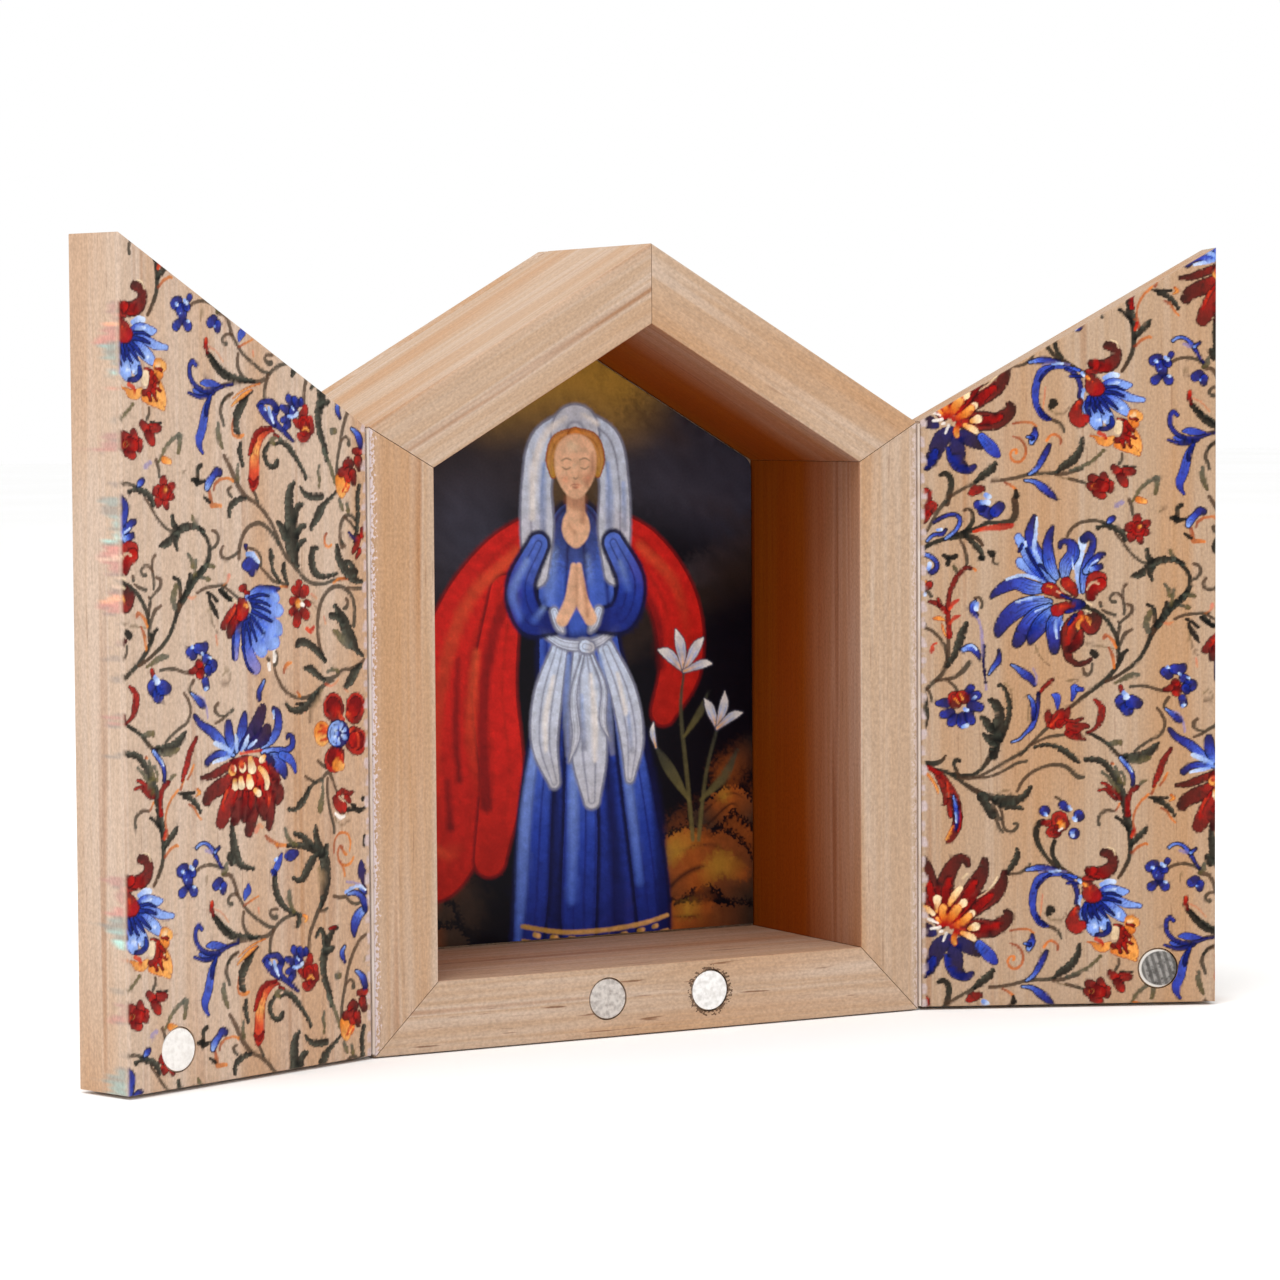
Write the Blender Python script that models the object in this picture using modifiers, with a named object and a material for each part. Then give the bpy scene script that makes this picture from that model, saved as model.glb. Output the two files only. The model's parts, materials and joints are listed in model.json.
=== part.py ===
"""A pocket shrine of pale pine: a house-shaped box, open at the front, with a picture at its back
and two board doors that carry half of its outline each.

Metres, +Z up. The origin is the middle of the bottom board's underside; the doors open towards -Y
and stand open at rest. Each mitred board keeps its own thickness, so each can be changed alone.
"""

import math

import bmesh
import bpy
from mathutils import Matrix, Vector

# Outline of the box, seen from the front
FRAME_WIDTH = 0.090
EAVE_HEIGHT = 0.088
ROOF_PITCH = math.radians(30.0)

# Boards of the box
BOTTOM_THICKNESS = 0.010
SIDE_THICKNESS = 0.010
ROOF_THICKNESS = 0.010
BOARD_DEPTH = 0.032
BACK_THICKNESS = 0.003
ARRIS = 0.0002
ARRIS_SEGMENTS = 2
GLUE_LINE = 0.0001

# Picture, a printed card glued to the back panel
PICTURE_THICKNESS = 0.0008
PICTURE_CLEARANCE = 0.0003
PICTURE_EAVE_RADIUS = 0.0022
CORNER_STEPS = 8

# Doors
DOOR_THICKNESS = 0.010
DOOR_CLOSED_GAP = 0.0003
DOOR_MEETING_GAP = 0.0004
DOOR_FLOOR_GAP = 0.0003
LEFT_DOOR_OPENED = math.radians(160.4)
RIGHT_DOOR_OPENED = math.radians(156.1)

# Film hinges: two thin leaves and the fold between them
FILM_THICKNESS = 0.00015
FILM_GLUE = 0.00005
FILM_OUTER_MARGIN = 0.001
FILM_END_MARGIN = 0.0002
LEAF_CLEARANCE = 0.0001
FOLD_RADIUS = 0.0002
FOLD_CLEARANCE = 0.0001
FOLD_SIDES = 12

# Disc magnets, two in the bottom board and one in each door, which meet when the doors close
MAGNET_DIAMETER = 0.006
MAGNET_THICKNESS = 0.002
MAGNET_FROM_CENTRE = 0.009
LEFT_FRAME_MAGNET_OFFSET = 0.0011
MAGNET_ABOVE_BOARD_MIDDLE = 0.0005
MAGNET_POCKET_CLEARANCE = 0.0001
MAGNET_RECESS = 0.0001
MAGNET_CHAMFER = 0.00015
MAGNET_SIDES = 40
CUTTER_OVERRUN = 0.001

WELD_DISTANCE = 0.000001

# Places that follow from the sizes
LEFT, RIGHT = -1, 1
SIDE_NAMES = {LEFT: "left", RIGHT: "right"}
HALF_WIDTH = FRAME_WIDTH / 2
PEAK_HEIGHT = EAVE_HEIGHT + HALF_WIDTH * math.tan(ROOF_PITCH)
FRONT_Y = -BOARD_DEPTH / 2
BACK_Y = BOARD_DEPTH / 2
HINGE_X = HALF_WIDTH + FILM_GLUE + FILM_THICKNESS + LEAF_CLEARANCE / 2
HINGE_Y = FRONT_Y - DOOR_CLOSED_GAP / 2
LEAF_START = FOLD_RADIUS + FOLD_CLEARANCE
LEAF_END = DOOR_CLOSED_GAP / 2 + DOOR_THICKNESS - FILM_OUTER_MARGIN
MAGNET_HEIGHT = BOTTOM_THICKNESS / 2 + MAGNET_ABOVE_BOARD_MIDDLE
POCKET_DEPTH = MAGNET_RECESS + MAGNET_THICKNESS + GLUE_LINE


def clear_scene():
    for obj in list(bpy.data.objects):
        bpy.data.objects.remove(obj, do_unlink=True)


def new_collection(name):
    collection = bpy.data.collections.new(name)
    bpy.context.scene.collection.children.link(collection)
    return collection


def new_material(name, colour, roughness, metallic=0.0):
    material = bpy.data.materials.new(name)
    material.use_nodes = True
    shader = material.node_tree.nodes["Principled BSDF"]
    shader.inputs["Base Color"].default_value = (*colour, 1.0)
    shader.inputs["Roughness"].default_value = roughness
    shader.inputs["Metallic"].default_value = metallic
    return material


def make_materials():
    return {
        "pine": new_material("sanded pine", (0.60, 0.42, 0.27), 0.6),
        "roof": new_material("roof pine", (0.66, 0.47, 0.31), 0.6),
        "back": new_material("back panel wood", (0.50, 0.40, 0.30), 0.7),
        "picture": new_material("printed card", (0.10, 0.06, 0.08), 0.35),
        "door": new_material("printed door pine", (0.62, 0.47, 0.32), 0.55),
        "film": new_material("hinge film", (0.70, 0.62, 0.62), 0.4),
        "magnet": new_material("nickel plate", (0.72, 0.70, 0.66), 0.3, 1.0),
    }


def add_object(name, mesh, material, collection):
    mesh.name = name
    obj = bpy.data.objects.new(name, mesh)
    if material:
        obj.data.materials.clear()
        obj.data.materials.append(material)
    collection.objects.link(obj)
    return obj


def mesh_from(bm):
    bmesh.ops.recalc_face_normals(bm, faces=bm.faces)
    mesh = bpy.data.meshes.new("mesh")
    bm.to_mesh(mesh)
    bm.free()
    return mesh


def box_mesh(low, high):
    """A box between two corners."""
    low, high = Vector(low), Vector(high)
    bm = bmesh.new()
    bmesh.ops.create_cube(bm, size=1.0)
    bmesh.ops.scale(bm, vec=high - low, verts=bm.verts)
    bmesh.ops.translate(bm, vec=(low + high) / 2, verts=bm.verts)
    return mesh_from(bm)


def disc_mesh(radius, depth, sides, chamfer=0.0):
    """A cylinder along Y from y = 0 to y = depth, with its rims chamfered."""
    bm = bmesh.new()
    bmesh.ops.create_cone(
        bm, cap_ends=True, segments=sides, radius1=radius, radius2=radius, depth=depth
    )
    if chamfer:
        rims = [e for e in bm.edges if abs(e.verts[0].co.z - e.verts[1].co.z) < depth / 2]
        bmesh.ops.bevel(
            bm, geom=rims, offset=chamfer, segments=1, affect="EDGES", profile=0.5
        )
    bmesh.ops.rotate(bm, matrix=Matrix.Rotation(math.radians(-90), 3, "X"), verts=bm.verts)
    bmesh.ops.translate(bm, vec=(0, depth / 2, 0), verts=bm.verts)
    return mesh_from(bm)


def outline_mesh(outline, thickness):
    """A flat plate of the outline, given as (x, z) points, from y = 0 to y = thickness."""
    curve = bpy.data.curves.new("outline", "CURVE")
    curve.dimensions = "2D"
    curve.fill_mode = "BOTH"
    curve.extrude = thickness / 2
    spline = curve.splines.new("POLY")
    spline.points.add(len(outline) - 1)
    for point, (x, z) in zip(spline.points, outline):
        point.co = (x, z, 0, 1)
    spline.use_cyclic_u = True
    guide = bpy.data.objects.new("outline", curve)
    bpy.context.scene.collection.objects.link(guide)
    graph = bpy.context.evaluated_depsgraph_get()
    flat = bpy.data.meshes.new_from_object(guide.evaluated_get(graph))
    bm = bmesh.new()
    bm.from_mesh(flat)
    bmesh.ops.remove_doubles(bm, verts=bm.verts, dist=WELD_DISTANCE)
    bmesh.ops.dissolve_limit(
        bm, angle_limit=math.radians(0.1), verts=bm.verts, edges=bm.edges
    )
    bmesh.ops.rotate(bm, matrix=Matrix.Rotation(math.radians(90), 3, "X"), verts=bm.verts)
    bmesh.ops.translate(bm, vec=(0, thickness / 2, 0), verts=bm.verts)
    bpy.data.objects.remove(guide, do_unlink=True)
    bpy.data.meshes.remove(flat)
    return mesh_from(bm)


def ease_edges(obj):
    """Takes the sharp corners off a plate's edges, as fine sandpaper does."""
    bevel = obj.modifiers.new("arris", "BEVEL")
    bevel.width = ARRIS
    bevel.segments = ARRIS_SEGMENTS
    bevel.limit_method = "ANGLE"
    bevel.angle_limit = math.radians(20)


def house_corners():
    """The outline's corners as (x, z), anticlockwise from the bottom left."""
    return [
        Vector((-HALF_WIDTH, 0)),
        Vector((HALF_WIDTH, 0)),
        Vector((HALF_WIDTH, EAVE_HEIGHT)),
        Vector((0, PEAK_HEIGHT)),
        Vector((-HALF_WIDTH, EAVE_HEIGHT)),
    ]


BOARD_THICKNESSES = (
    BOTTOM_THICKNESS,
    SIDE_THICKNESS,
    ROOF_THICKNESS,
    ROOF_THICKNESS,
    SIDE_THICKNESS,
)


def inward_normal(start, end):
    along = (end - start).normalized()
    return Vector((-along.y, along.x))


def inset_corners(corners, insets):
    """The corners where the sides meet when side i, from corner i on, moves inwards by its inset."""
    inner = []
    for i, corner in enumerate(corners):
        before = inward_normal(corners[i - 1], corner)
        after = inward_normal(corner, corners[(i + 1) % len(corners)])
        turn = before.x * after.y - before.y * after.x
        x = (insets[i - 1] * after.y - insets[i] * before.y) / turn
        z = (insets[i] * before.x - insets[i - 1] * after.x) / turn
        inner.append(corner + Vector((x, z)))
    return inner


def mitred_board(name, outer, inner, thickness, material, collection):
    """A board from outer[0] to outer[1], its ends cut along the lines to the inner corners."""
    start, end = outer
    along = (end - start).normalized()
    length = (end - start).length
    bm = bmesh.new()
    bmesh.ops.create_cube(bm, size=1.0)
    bmesh.ops.scale(bm, vec=(length, BOARD_DEPTH, thickness), verts=bm.verts)
    bmesh.ops.translate(bm, vec=(length / 2, 0, thickness / 2), verts=bm.verts)
    long_edges = [e for e in bm.edges if abs(e.verts[0].co.x - e.verts[1].co.x) > length / 2]
    bmesh.ops.bevel(
        bm, geom=long_edges, offset=ARRIS, segments=ARRIS_SEGMENTS, affect="EDGES", profile=0.5
    )
    for corner, inside, facing in ((start, inner[0], -1), (end, inner[1], 1)):
        run = inside - corner
        cut = Vector((run.dot(along), 0, run.dot(inward_normal(start, end)))).normalized()
        normal = Vector((cut.z, 0, -cut.x)) * facing
        place = Vector(((corner - start).dot(along), 0, 0)) - normal * GLUE_LINE / 2
        cut_geometry = bmesh.ops.bisect_plane(
            bm,
            geom=[*bm.verts, *bm.edges, *bm.faces],
            dist=WELD_DISTANCE,
            plane_co=place,
            plane_no=normal,
            clear_outer=True,
        )["geom_cut"]
        rim = [item for item in cut_geometry if isinstance(item, bmesh.types.BMEdge)]
        bmesh.ops.edgeloop_fill(bm, edges=rim)
    board = add_object(name, mesh_from(bm), material, collection)
    board.location = (start.x, 0, start.y)
    board.rotation_euler = (0, -math.atan2(along.y, along.x), 0)
    return board


def add_magnet_pocket(board, centre, parent, facing, cutters):
    """Sinks a round pocket into a face that looks along facing, either -1 or 1 on Y."""
    mesh = disc_mesh(
        MAGNET_DIAMETER / 2 + MAGNET_POCKET_CLEARANCE,
        POCKET_DEPTH + CUTTER_OVERRUN,
        MAGNET_SIDES,
    )
    cutter = add_object(f"{board.name}_pocket_{len(board.modifiers)}", mesh, None, cutters)
    cutter.hide_render = True
    cutter.display_type = "WIRE"
    cutter.parent = parent
    x, y, z = centre
    lowest = y - POCKET_DEPTH if facing > 0 else y - CUTTER_OVERRUN
    cutter.location = (x, lowest, z)
    pocket = board.modifiers.new("magnet pocket", "BOOLEAN")
    pocket.object = cutter
    pocket.operation = "DIFFERENCE"
    pocket.solver = "EXACT"


def add_magnet(name, centre, parent, facing, material, collection):
    """A disc magnet whose face lies just under the face that looks along facing."""
    mesh = disc_mesh(MAGNET_DIAMETER / 2, MAGNET_THICKNESS, MAGNET_SIDES, MAGNET_CHAMFER)
    magnet = add_object(name, mesh, material, collection)
    magnet.data.shade_smooth()
    magnet.data.set_sharp_from_angle(angle=math.radians(30))
    x, y, z = centre
    face = y - facing * MAGNET_RECESS
    magnet.parent = parent
    magnet.location = (x, face - MAGNET_THICKNESS if facing > 0 else face, z)


def add_frame(materials, parts, cutters):
    """The five mitred boards, with two magnets in the bottom one, the left drilled nearer the middle."""
    corners = house_corners()
    inner = inset_corners(corners, BOARD_THICKNESSES)
    names = ("bottom_board", "right_side_board", "right_roof_board", "left_roof_board", "left_side_board")
    for i, name in enumerate(names):
        j = (i + 1) % len(corners)
        board = mitred_board(
            name,
            (corners[i], corners[j]),
            (inner[i], inner[j]),
            BOARD_THICKNESSES[i],
            materials["roof" if "roof" in name else "pine"],
            parts,
        )
        if name == "bottom_board":
            for side in (LEFT, RIGHT):
                offset = LEFT_FRAME_MAGNET_OFFSET if side == LEFT else 0.0
                centre = (side * MAGNET_FROM_CENTRE + offset, FRONT_Y, MAGNET_HEIGHT)
                add_magnet_pocket(board, centre, None, -1, cutters)
                magnet_name = f"{SIDE_NAMES[side]}_frame_magnet"
                add_magnet(magnet_name, centre, None, -1, materials["magnet"], parts)


def add_back_panel(materials, parts):
    """A thin panel over the whole back of the boards."""
    panel = add_object(
        "back_panel", outline_mesh(house_corners(), BACK_THICKNESS), materials["back"], parts
    )
    panel.location = (0, BACK_Y + GLUE_LINE, 0)
    ease_edges(panel)


def rounded(outline, index, radius):
    """The outline with one corner turned into an arc."""
    corner = outline[index]
    to_before = (outline[index - 1] - corner).normalized()
    to_after = (outline[(index + 1) % len(outline)] - corner).normalized()
    half_angle = to_before.angle(to_after) / 2
    middle = (to_before + to_after).normalized()
    centre = corner + middle * radius / math.sin(half_angle)
    first = corner + to_before * radius / math.tan(half_angle) - centre
    last = corner + to_after * radius / math.tan(half_angle) - centre
    sweep = math.pi - 2 * half_angle
    turn = math.copysign(1, first.x * last.y - first.y * last.x)
    arc = []
    for step in range(CORNER_STEPS + 1):
        angle = turn * sweep * step / CORNER_STEPS
        cos, sin = math.cos(angle), math.sin(angle)
        arc.append(centre + Vector((first.x * cos - first.y * sin, first.x * sin + first.y * cos)))
    return outline[:index] + arc + outline[index + 1 :]


def add_picture(materials, parts):
    """The card behind the opening, its two eave corners rounded."""
    insets = [thickness + PICTURE_CLEARANCE for thickness in BOARD_THICKNESSES]
    outline = inset_corners(house_corners(), insets)
    for index in (4, 2):
        outline = rounded(outline, index, PICTURE_EAVE_RADIUS)
    picture = add_object(
        "picture_panel", outline_mesh(outline, PICTURE_THICKNESS), materials["picture"], parts
    )
    picture.location = (0, BACK_Y - PICTURE_THICKNESS, 0)


def door_outline(side):
    """Half of the house outline, as (x, z) from the hinge's axis, for the closed door."""
    half_gap = DOOR_MEETING_GAP / 2
    meeting_peak = PEAK_HEIGHT - half_gap * math.tan(ROOF_PITCH)
    corners = [
        (side * HALF_WIDTH, DOOR_FLOOR_GAP),
        (side * HALF_WIDTH, EAVE_HEIGHT),
        (side * half_gap, meeting_peak),
        (side * half_gap, DOOR_FLOOR_GAP),
    ]
    return [(x - side * HINGE_X, z) for x, z in corners]


def add_door(side, opened, materials, parts, cutters):
    """A door, its magnet and its half of the film hinge, all carried by the hinge's axis."""
    label = SIDE_NAMES[side]
    hinge = bpy.data.objects.new(f"{label}_door_hinge", None)
    hinge.location = (side * HINGE_X, HINGE_Y, 0)
    hinge.rotation_euler = (0, 0, side * opened)
    parts.objects.link(hinge)

    inner_face = -DOOR_CLOSED_GAP / 2
    door = add_object(
        f"{label}_door", outline_mesh(door_outline(side), DOOR_THICKNESS), materials["door"], parts
    )
    door.parent = hinge
    door.location = (0, inner_face - DOOR_THICKNESS, 0)
    ease_edges(door)

    centre = (side * (MAGNET_FROM_CENTRE - HINGE_X), inner_face, MAGNET_HEIGHT)
    add_magnet_pocket(door, centre, hinge, 1, cutters)
    add_magnet(f"{label}_door_magnet", centre, hinge, 1, materials["magnet"], parts)
    add_leaf(f"{label}_hinge_door_leaf", side, -1, hinge, materials["film"], parts)


def add_leaf(name, side, facing, parent, material, collection):
    """One leaf of a film hinge, in the axis's own frame: on the box at facing 1, on the door at -1."""
    inner_x = side * (HALF_WIDTH + FILM_GLUE - HINGE_X)
    outer_x = side * (HALF_WIDTH + FILM_GLUE + FILM_THICKNESS - HINGE_X)
    ys = sorted((facing * LEAF_START, facing * LEAF_END))
    xs = sorted((inner_x, outer_x))
    low = (xs[0], ys[0], DOOR_FLOOR_GAP + FILM_END_MARGIN)
    high = (xs[1], ys[1], EAVE_HEIGHT - FILM_END_MARGIN)
    leaf = add_object(name, box_mesh(low, high), material, collection)
    leaf.parent = parent
    if parent is None:
        leaf.location = (side * HINGE_X, HINGE_Y, 0)


def add_box_hinge(side, materials, parts):
    """The leaf on the box's side and the fold that both leaves turn about."""
    label = SIDE_NAMES[side]
    add_leaf(f"{label}_hinge_frame_leaf", side, 1, None, materials["film"], parts)
    bottom = DOOR_FLOOR_GAP + FILM_END_MARGIN
    height = EAVE_HEIGHT - FILM_END_MARGIN - bottom
    bpy.ops.mesh.primitive_cylinder_add(
        vertices=FOLD_SIDES,
        radius=FOLD_RADIUS,
        depth=height,
        location=(side * HINGE_X, HINGE_Y, bottom + height / 2),
    )
    fold = bpy.context.object
    fold.name = f"{label}_hinge_fold"
    fold.data.materials.append(materials["film"])
    for collection in list(fold.users_collection):
        collection.objects.unlink(fold)
    parts.objects.link(fold)


def main():
    clear_scene()
    parts = new_collection("pocket shrine")
    cutters = new_collection("cutters")
    materials = make_materials()
    add_frame(materials, parts, cutters)
    add_back_panel(materials, parts)
    add_picture(materials, parts)
    for side, opened in ((LEFT, LEFT_DOOR_OPENED), (RIGHT, RIGHT_DOOR_OPENED)):
        add_box_hinge(side, materials, parts)
        add_door(side, opened, materials, parts, cutters)


main()
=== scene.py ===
"""The looks of a pocket shrine of pale pine, made of its own CAD model in one shared frame.

The box's boards, the back panel, the film hinges and the magnets are the CAD nodes, dressed with
procedural finishes. The two doors and the card at the back are replaced by closed meshes of the
same size, whose printed faces are cut finely enough to hold the print as ink at their points.
"""

import json
import logging
import math
import re
from collections.abc import Callable, Iterator, Sequence
from dataclasses import dataclass, field
from enum import Enum

import bmesh
import bpy
import numpy as np
from mathutils import Matrix, Vector
from mathutils.geometry import delaunay_2d_cdt


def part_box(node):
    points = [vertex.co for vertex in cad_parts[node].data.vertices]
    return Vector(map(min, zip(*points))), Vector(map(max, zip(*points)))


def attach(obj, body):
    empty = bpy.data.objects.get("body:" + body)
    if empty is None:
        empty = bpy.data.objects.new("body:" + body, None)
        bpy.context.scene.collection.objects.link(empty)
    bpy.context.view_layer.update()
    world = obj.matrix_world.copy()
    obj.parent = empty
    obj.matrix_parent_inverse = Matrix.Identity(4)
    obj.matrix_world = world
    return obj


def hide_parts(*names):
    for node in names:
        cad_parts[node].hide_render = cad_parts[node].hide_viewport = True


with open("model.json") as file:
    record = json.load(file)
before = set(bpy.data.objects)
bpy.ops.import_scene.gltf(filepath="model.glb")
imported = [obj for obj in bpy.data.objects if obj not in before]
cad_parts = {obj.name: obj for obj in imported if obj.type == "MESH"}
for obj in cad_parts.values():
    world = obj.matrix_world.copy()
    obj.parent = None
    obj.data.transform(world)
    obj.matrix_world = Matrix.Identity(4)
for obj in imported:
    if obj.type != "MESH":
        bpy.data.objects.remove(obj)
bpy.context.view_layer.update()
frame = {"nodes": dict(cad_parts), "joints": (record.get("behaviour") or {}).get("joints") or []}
log = logging.getLogger("pocket shrine")

MM = 0.001
INK = "ink"
UPRIGHT = (0.0, 90.0, 0.0)

Tree = bpy.types.NodeTree
Socket = bpy.types.NodeSocket


def linear(colour: str) -> tuple[float, float, float]:
    """Turns an sRGB hex colour into linear light.

    Args:
        colour: six hex digits after a hash.

    Returns:
        Red, green and blue from 0 to 1.
    """
    parts = [int(colour[i : i + 2], 16) / 255 for i in (1, 3, 5)]
    return tuple(p / 12.92 if p <= 0.04045 else ((p + 0.055) / 1.055) ** 2.4 for p in parts)


def feed(node: bpy.types.Node, inputs: dict[str | int, object]) -> None:
    """Sets or links a node's inputs.

    Args:
        node: the node.
        inputs: a value, a hex colour or another node's output for each input by name or index.
    """
    for key, value in inputs.items():
        socket = node.inputs[key]
        if isinstance(value, Socket):
            node.id_data.links.new(value, socket)
        else:
            socket.default_value = (*linear(value), 1.0) if isinstance(value, str) else value


def add_node(
    tree: Tree,
    kind: str,
    inputs: dict[str | int, object] | None = None,
    ramp: Sequence[tuple[float, str]] = (),
    **settings: object,
) -> bpy.types.Node:
    """Adds a node with its settings and links.

    Args:
        tree: the node tree that gets it.
        kind: Blender's name for the kind of node.
        inputs: what its inputs get, as `feed` takes it.
        ramp: places and hex colours, for a node that has a colour ramp.
        settings: the node's own properties.

    Returns:
        The new node.
    """
    node = tree.nodes.new(kind)
    for name, value in settings.items():
        setattr(node, name, value)
    if ramp:
        elements = node.color_ramp.elements
        while len(elements) < len(ramp):
            elements.new(0.5)
        for element, (place, colour) in zip(elements, ramp):
            element.position = place
            element.color = (*linear(colour), 1.0)
    feed(node, inputs or {})
    return node


# Painting: what the prints are made of


class Ink(Enum):
    """The inks of the two prints, as they look on the pale wood."""

    NIGHT = "#0d0f3c"
    NAVY = "#181f6a"
    COBALT = "#243da2"
    BLUE = "#4f6fd0"
    SKY = "#8fabe4"
    ICE = "#cfdcf2"
    LILAC = "#8c86bd"
    PLUM = "#34173c"
    WINE = "#45090f"
    MAROON = "#7a0f12"
    RED = "#b01d14"
    CORAL = "#d9532f"
    ORANGE = "#dd8838"
    AMBER = "#e9ac62"
    CREAM = "#f4deba"
    WHITE = "#f4ece4"
    SOOT = "#1d1c18"
    CHARCOAL = "#393b33"
    SLATE = "#63665a"
    OLIVE = "#6d6238"
    TWIG = "#5c4433"
    BRICK = "#9a4a2c"
    GLOOM = "#0a0710"
    UMBER = "#3b2b22"
    ASH = "#464453"
    DOVE = "#85879b"
    SCARLET = "#cf1f18"
    GILT = "#b98a30"
    EMBER = "#a0521f"
    PEARL = "#c9c8cf"
    SKIN = "#ecb993"
    CLAY = "#9a5a3c"

    def light(self) -> np.ndarray:
        """The ink's linear colour."""
        return np.array(linear(self.value))


@dataclass(frozen=True)
class Touch:
    """How one kind of brush stroke is inked. Widths are in millimetres."""

    RIM_FADE = 0.08
    VEIN_HALF = 0.17
    VEIN_SHARE = 0.85
    FLANK_SHARE = 0.85
    BARB_SHARE = 0.5

    inks: tuple[Ink, ...]
    rim: Ink | None = None
    rim_width: float = 0.16
    flank: Ink | None = None
    veins: int = 0
    vein: Ink = Ink.NIGHT
    vein_reach: float = 0.75
    cover: float = 0.96
    ragged: float = 0.05
    swell: float = 0.0
    soft: float = 0.0
    barbs: float = 0.0

    def colour(self, gap: np.ndarray, along: np.ndarray, side: np.ndarray, beat: np.ndarray) -> np.ndarray:
        """Mixes the colour at each place of a stroke.

        Args:
            gap: distance outside the stroke, in millimetres.
            along: place along the stroke, from 0 to 1.
            side: place across it, from -1 at its right to 1 at its left.
            beat: place between two notches, from 0 to 1.

        Returns:
            Linear colour.
        """
        inks = np.array([ink.light() for ink in self.inks])
        place = np.clip(along, 0.0, 1.0) * (len(inks) - 1)
        first = np.minimum(place.astype(int), max(len(inks) - 2, 0))
        part = np.clip(place - first, 0.0, 1.0)[..., None]
        colour = inks[first] * (1 - part) + inks[np.minimum(first + 1, len(inks) - 1)] * part
        washes = []
        if self.flank:
            washes.append((self.flank, np.clip(side * 0.9 + 0.1, 0.0, 1.0) * self.FLANK_SHARE))
        if self.veins:
            wave = np.abs((side * 0.5 * self.veins) % 1.0 - 0.5)
            line = np.clip(1.0 - wave / self.VEIN_HALF, 0.0, 1.0)
            washes.append((self.vein, line * np.clip((self.vein_reach - along) * 5, 0, 1) * self.VEIN_SHARE))
        if self.barbs:
            washes.append((self.vein, np.clip((beat - 0.5) / 0.4, 0.0, 1.0) * self.BARB_SHARE))
        if self.rim:
            washes.append((self.rim, np.clip((gap + self.rim_width) / self.RIM_FADE, 0.0, 1.0)))
        for ink, share in washes:
            part = share[..., None]
            colour = colour * (1 - part) + ink.light() * part
        return colour


@dataclass(frozen=True)
class Stroke:
    """A brush stroke: a smooth line of discs.

    The path holds three numbers for each disc: its place across and up, and its radius, in
    millimetres.
    """

    STEP = 0.45
    THINNEST = 0.03

    touch: Touch
    path: str

    def spine(self) -> np.ndarray:
        """Follows the path smoothly.

        Returns:
            Rows of across, up and radius in millimetres, close enough to read as one line.
        """
        knots = np.array(self.path.split(), float).reshape(-1, 3)
        if len(knots) < 3:
            return knots[0] + (knots[-1] - knots[0]) * np.linspace(0.0, 1.0, 6)[:, None]
        padded = np.vstack([2 * knots[0] - knots[1], knots, 2 * knots[-1] - knots[-2]])
        rows = []
        for a, b, c, d in zip(padded, padded[1:], padded[2:], padded[3:]):
            count = max(3, int(np.hypot(*(c - b)[:2]) / self.STEP))
            t = np.linspace(0.0, 1.0, count, endpoint=False)[:, None]
            bend = (2 * a - 5 * b + 4 * c - d) * t**2 + (3 * b - a - 3 * c + d) * t**3
            rows.append(0.5 * (2 * b + (c - a) * t + bend))
        spine = np.vstack([*rows, knots[-1:]])
        spine[:, 2] = np.maximum(spine[:, 2], self.THINNEST)
        return spine


def read_strokes(brushes: type[Enum], motifs: dict[str, str]) -> Iterator[Stroke]:
    """Reads strokes from text: a brush's name, then its strokes with slashes between them.

    Args:
        brushes: the brushes that the names stand for.
        motifs: the strokes' text for each motif.

    Yields:
        The strokes, in the order in which they are laid.
    """
    for name, text in motifs.items():
        log.info("drawing %s", name)
        for brush, paths in re.findall(r"([A-Z_]+)([^A-Z]+)", text):
            for path in paths.split("/"):
                yield Stroke(brushes[brush].value, path)


def lattice_noise(shape: tuple[int, int], cell: float, seed: int) -> np.ndarray:
    """Makes smooth noise from random values on a coarse lattice.

    Args:
        shape: rows and columns of the result.
        cell: size of a lattice cell, in rows.
        seed: picks the noise.

    Returns:
        Values from -1 to 1.
    """
    rows, columns = shape
    lattice = np.random.default_rng(seed).uniform(-1.0, 1.0, (int(rows / cell) + 3, int(columns / cell) + 3))
    y, x = np.arange(rows) / cell, np.arange(columns) / cell
    iy, ix = y.astype(int), x.astype(int)
    fy, fx = y - iy, x - ix
    fy, fx = (fy * fy * (3 - 2 * fy))[:, None], (fx * fx * (3 - 2 * fx))[None, :]
    low = lattice[iy][:, ix] * (1 - fx) + lattice[iy][:, ix + 1] * fx
    high = lattice[iy + 1][:, ix] * (1 - fx) + lattice[iy + 1][:, ix + 1] * fx
    return low * (1 - fy) + high * fy


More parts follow.
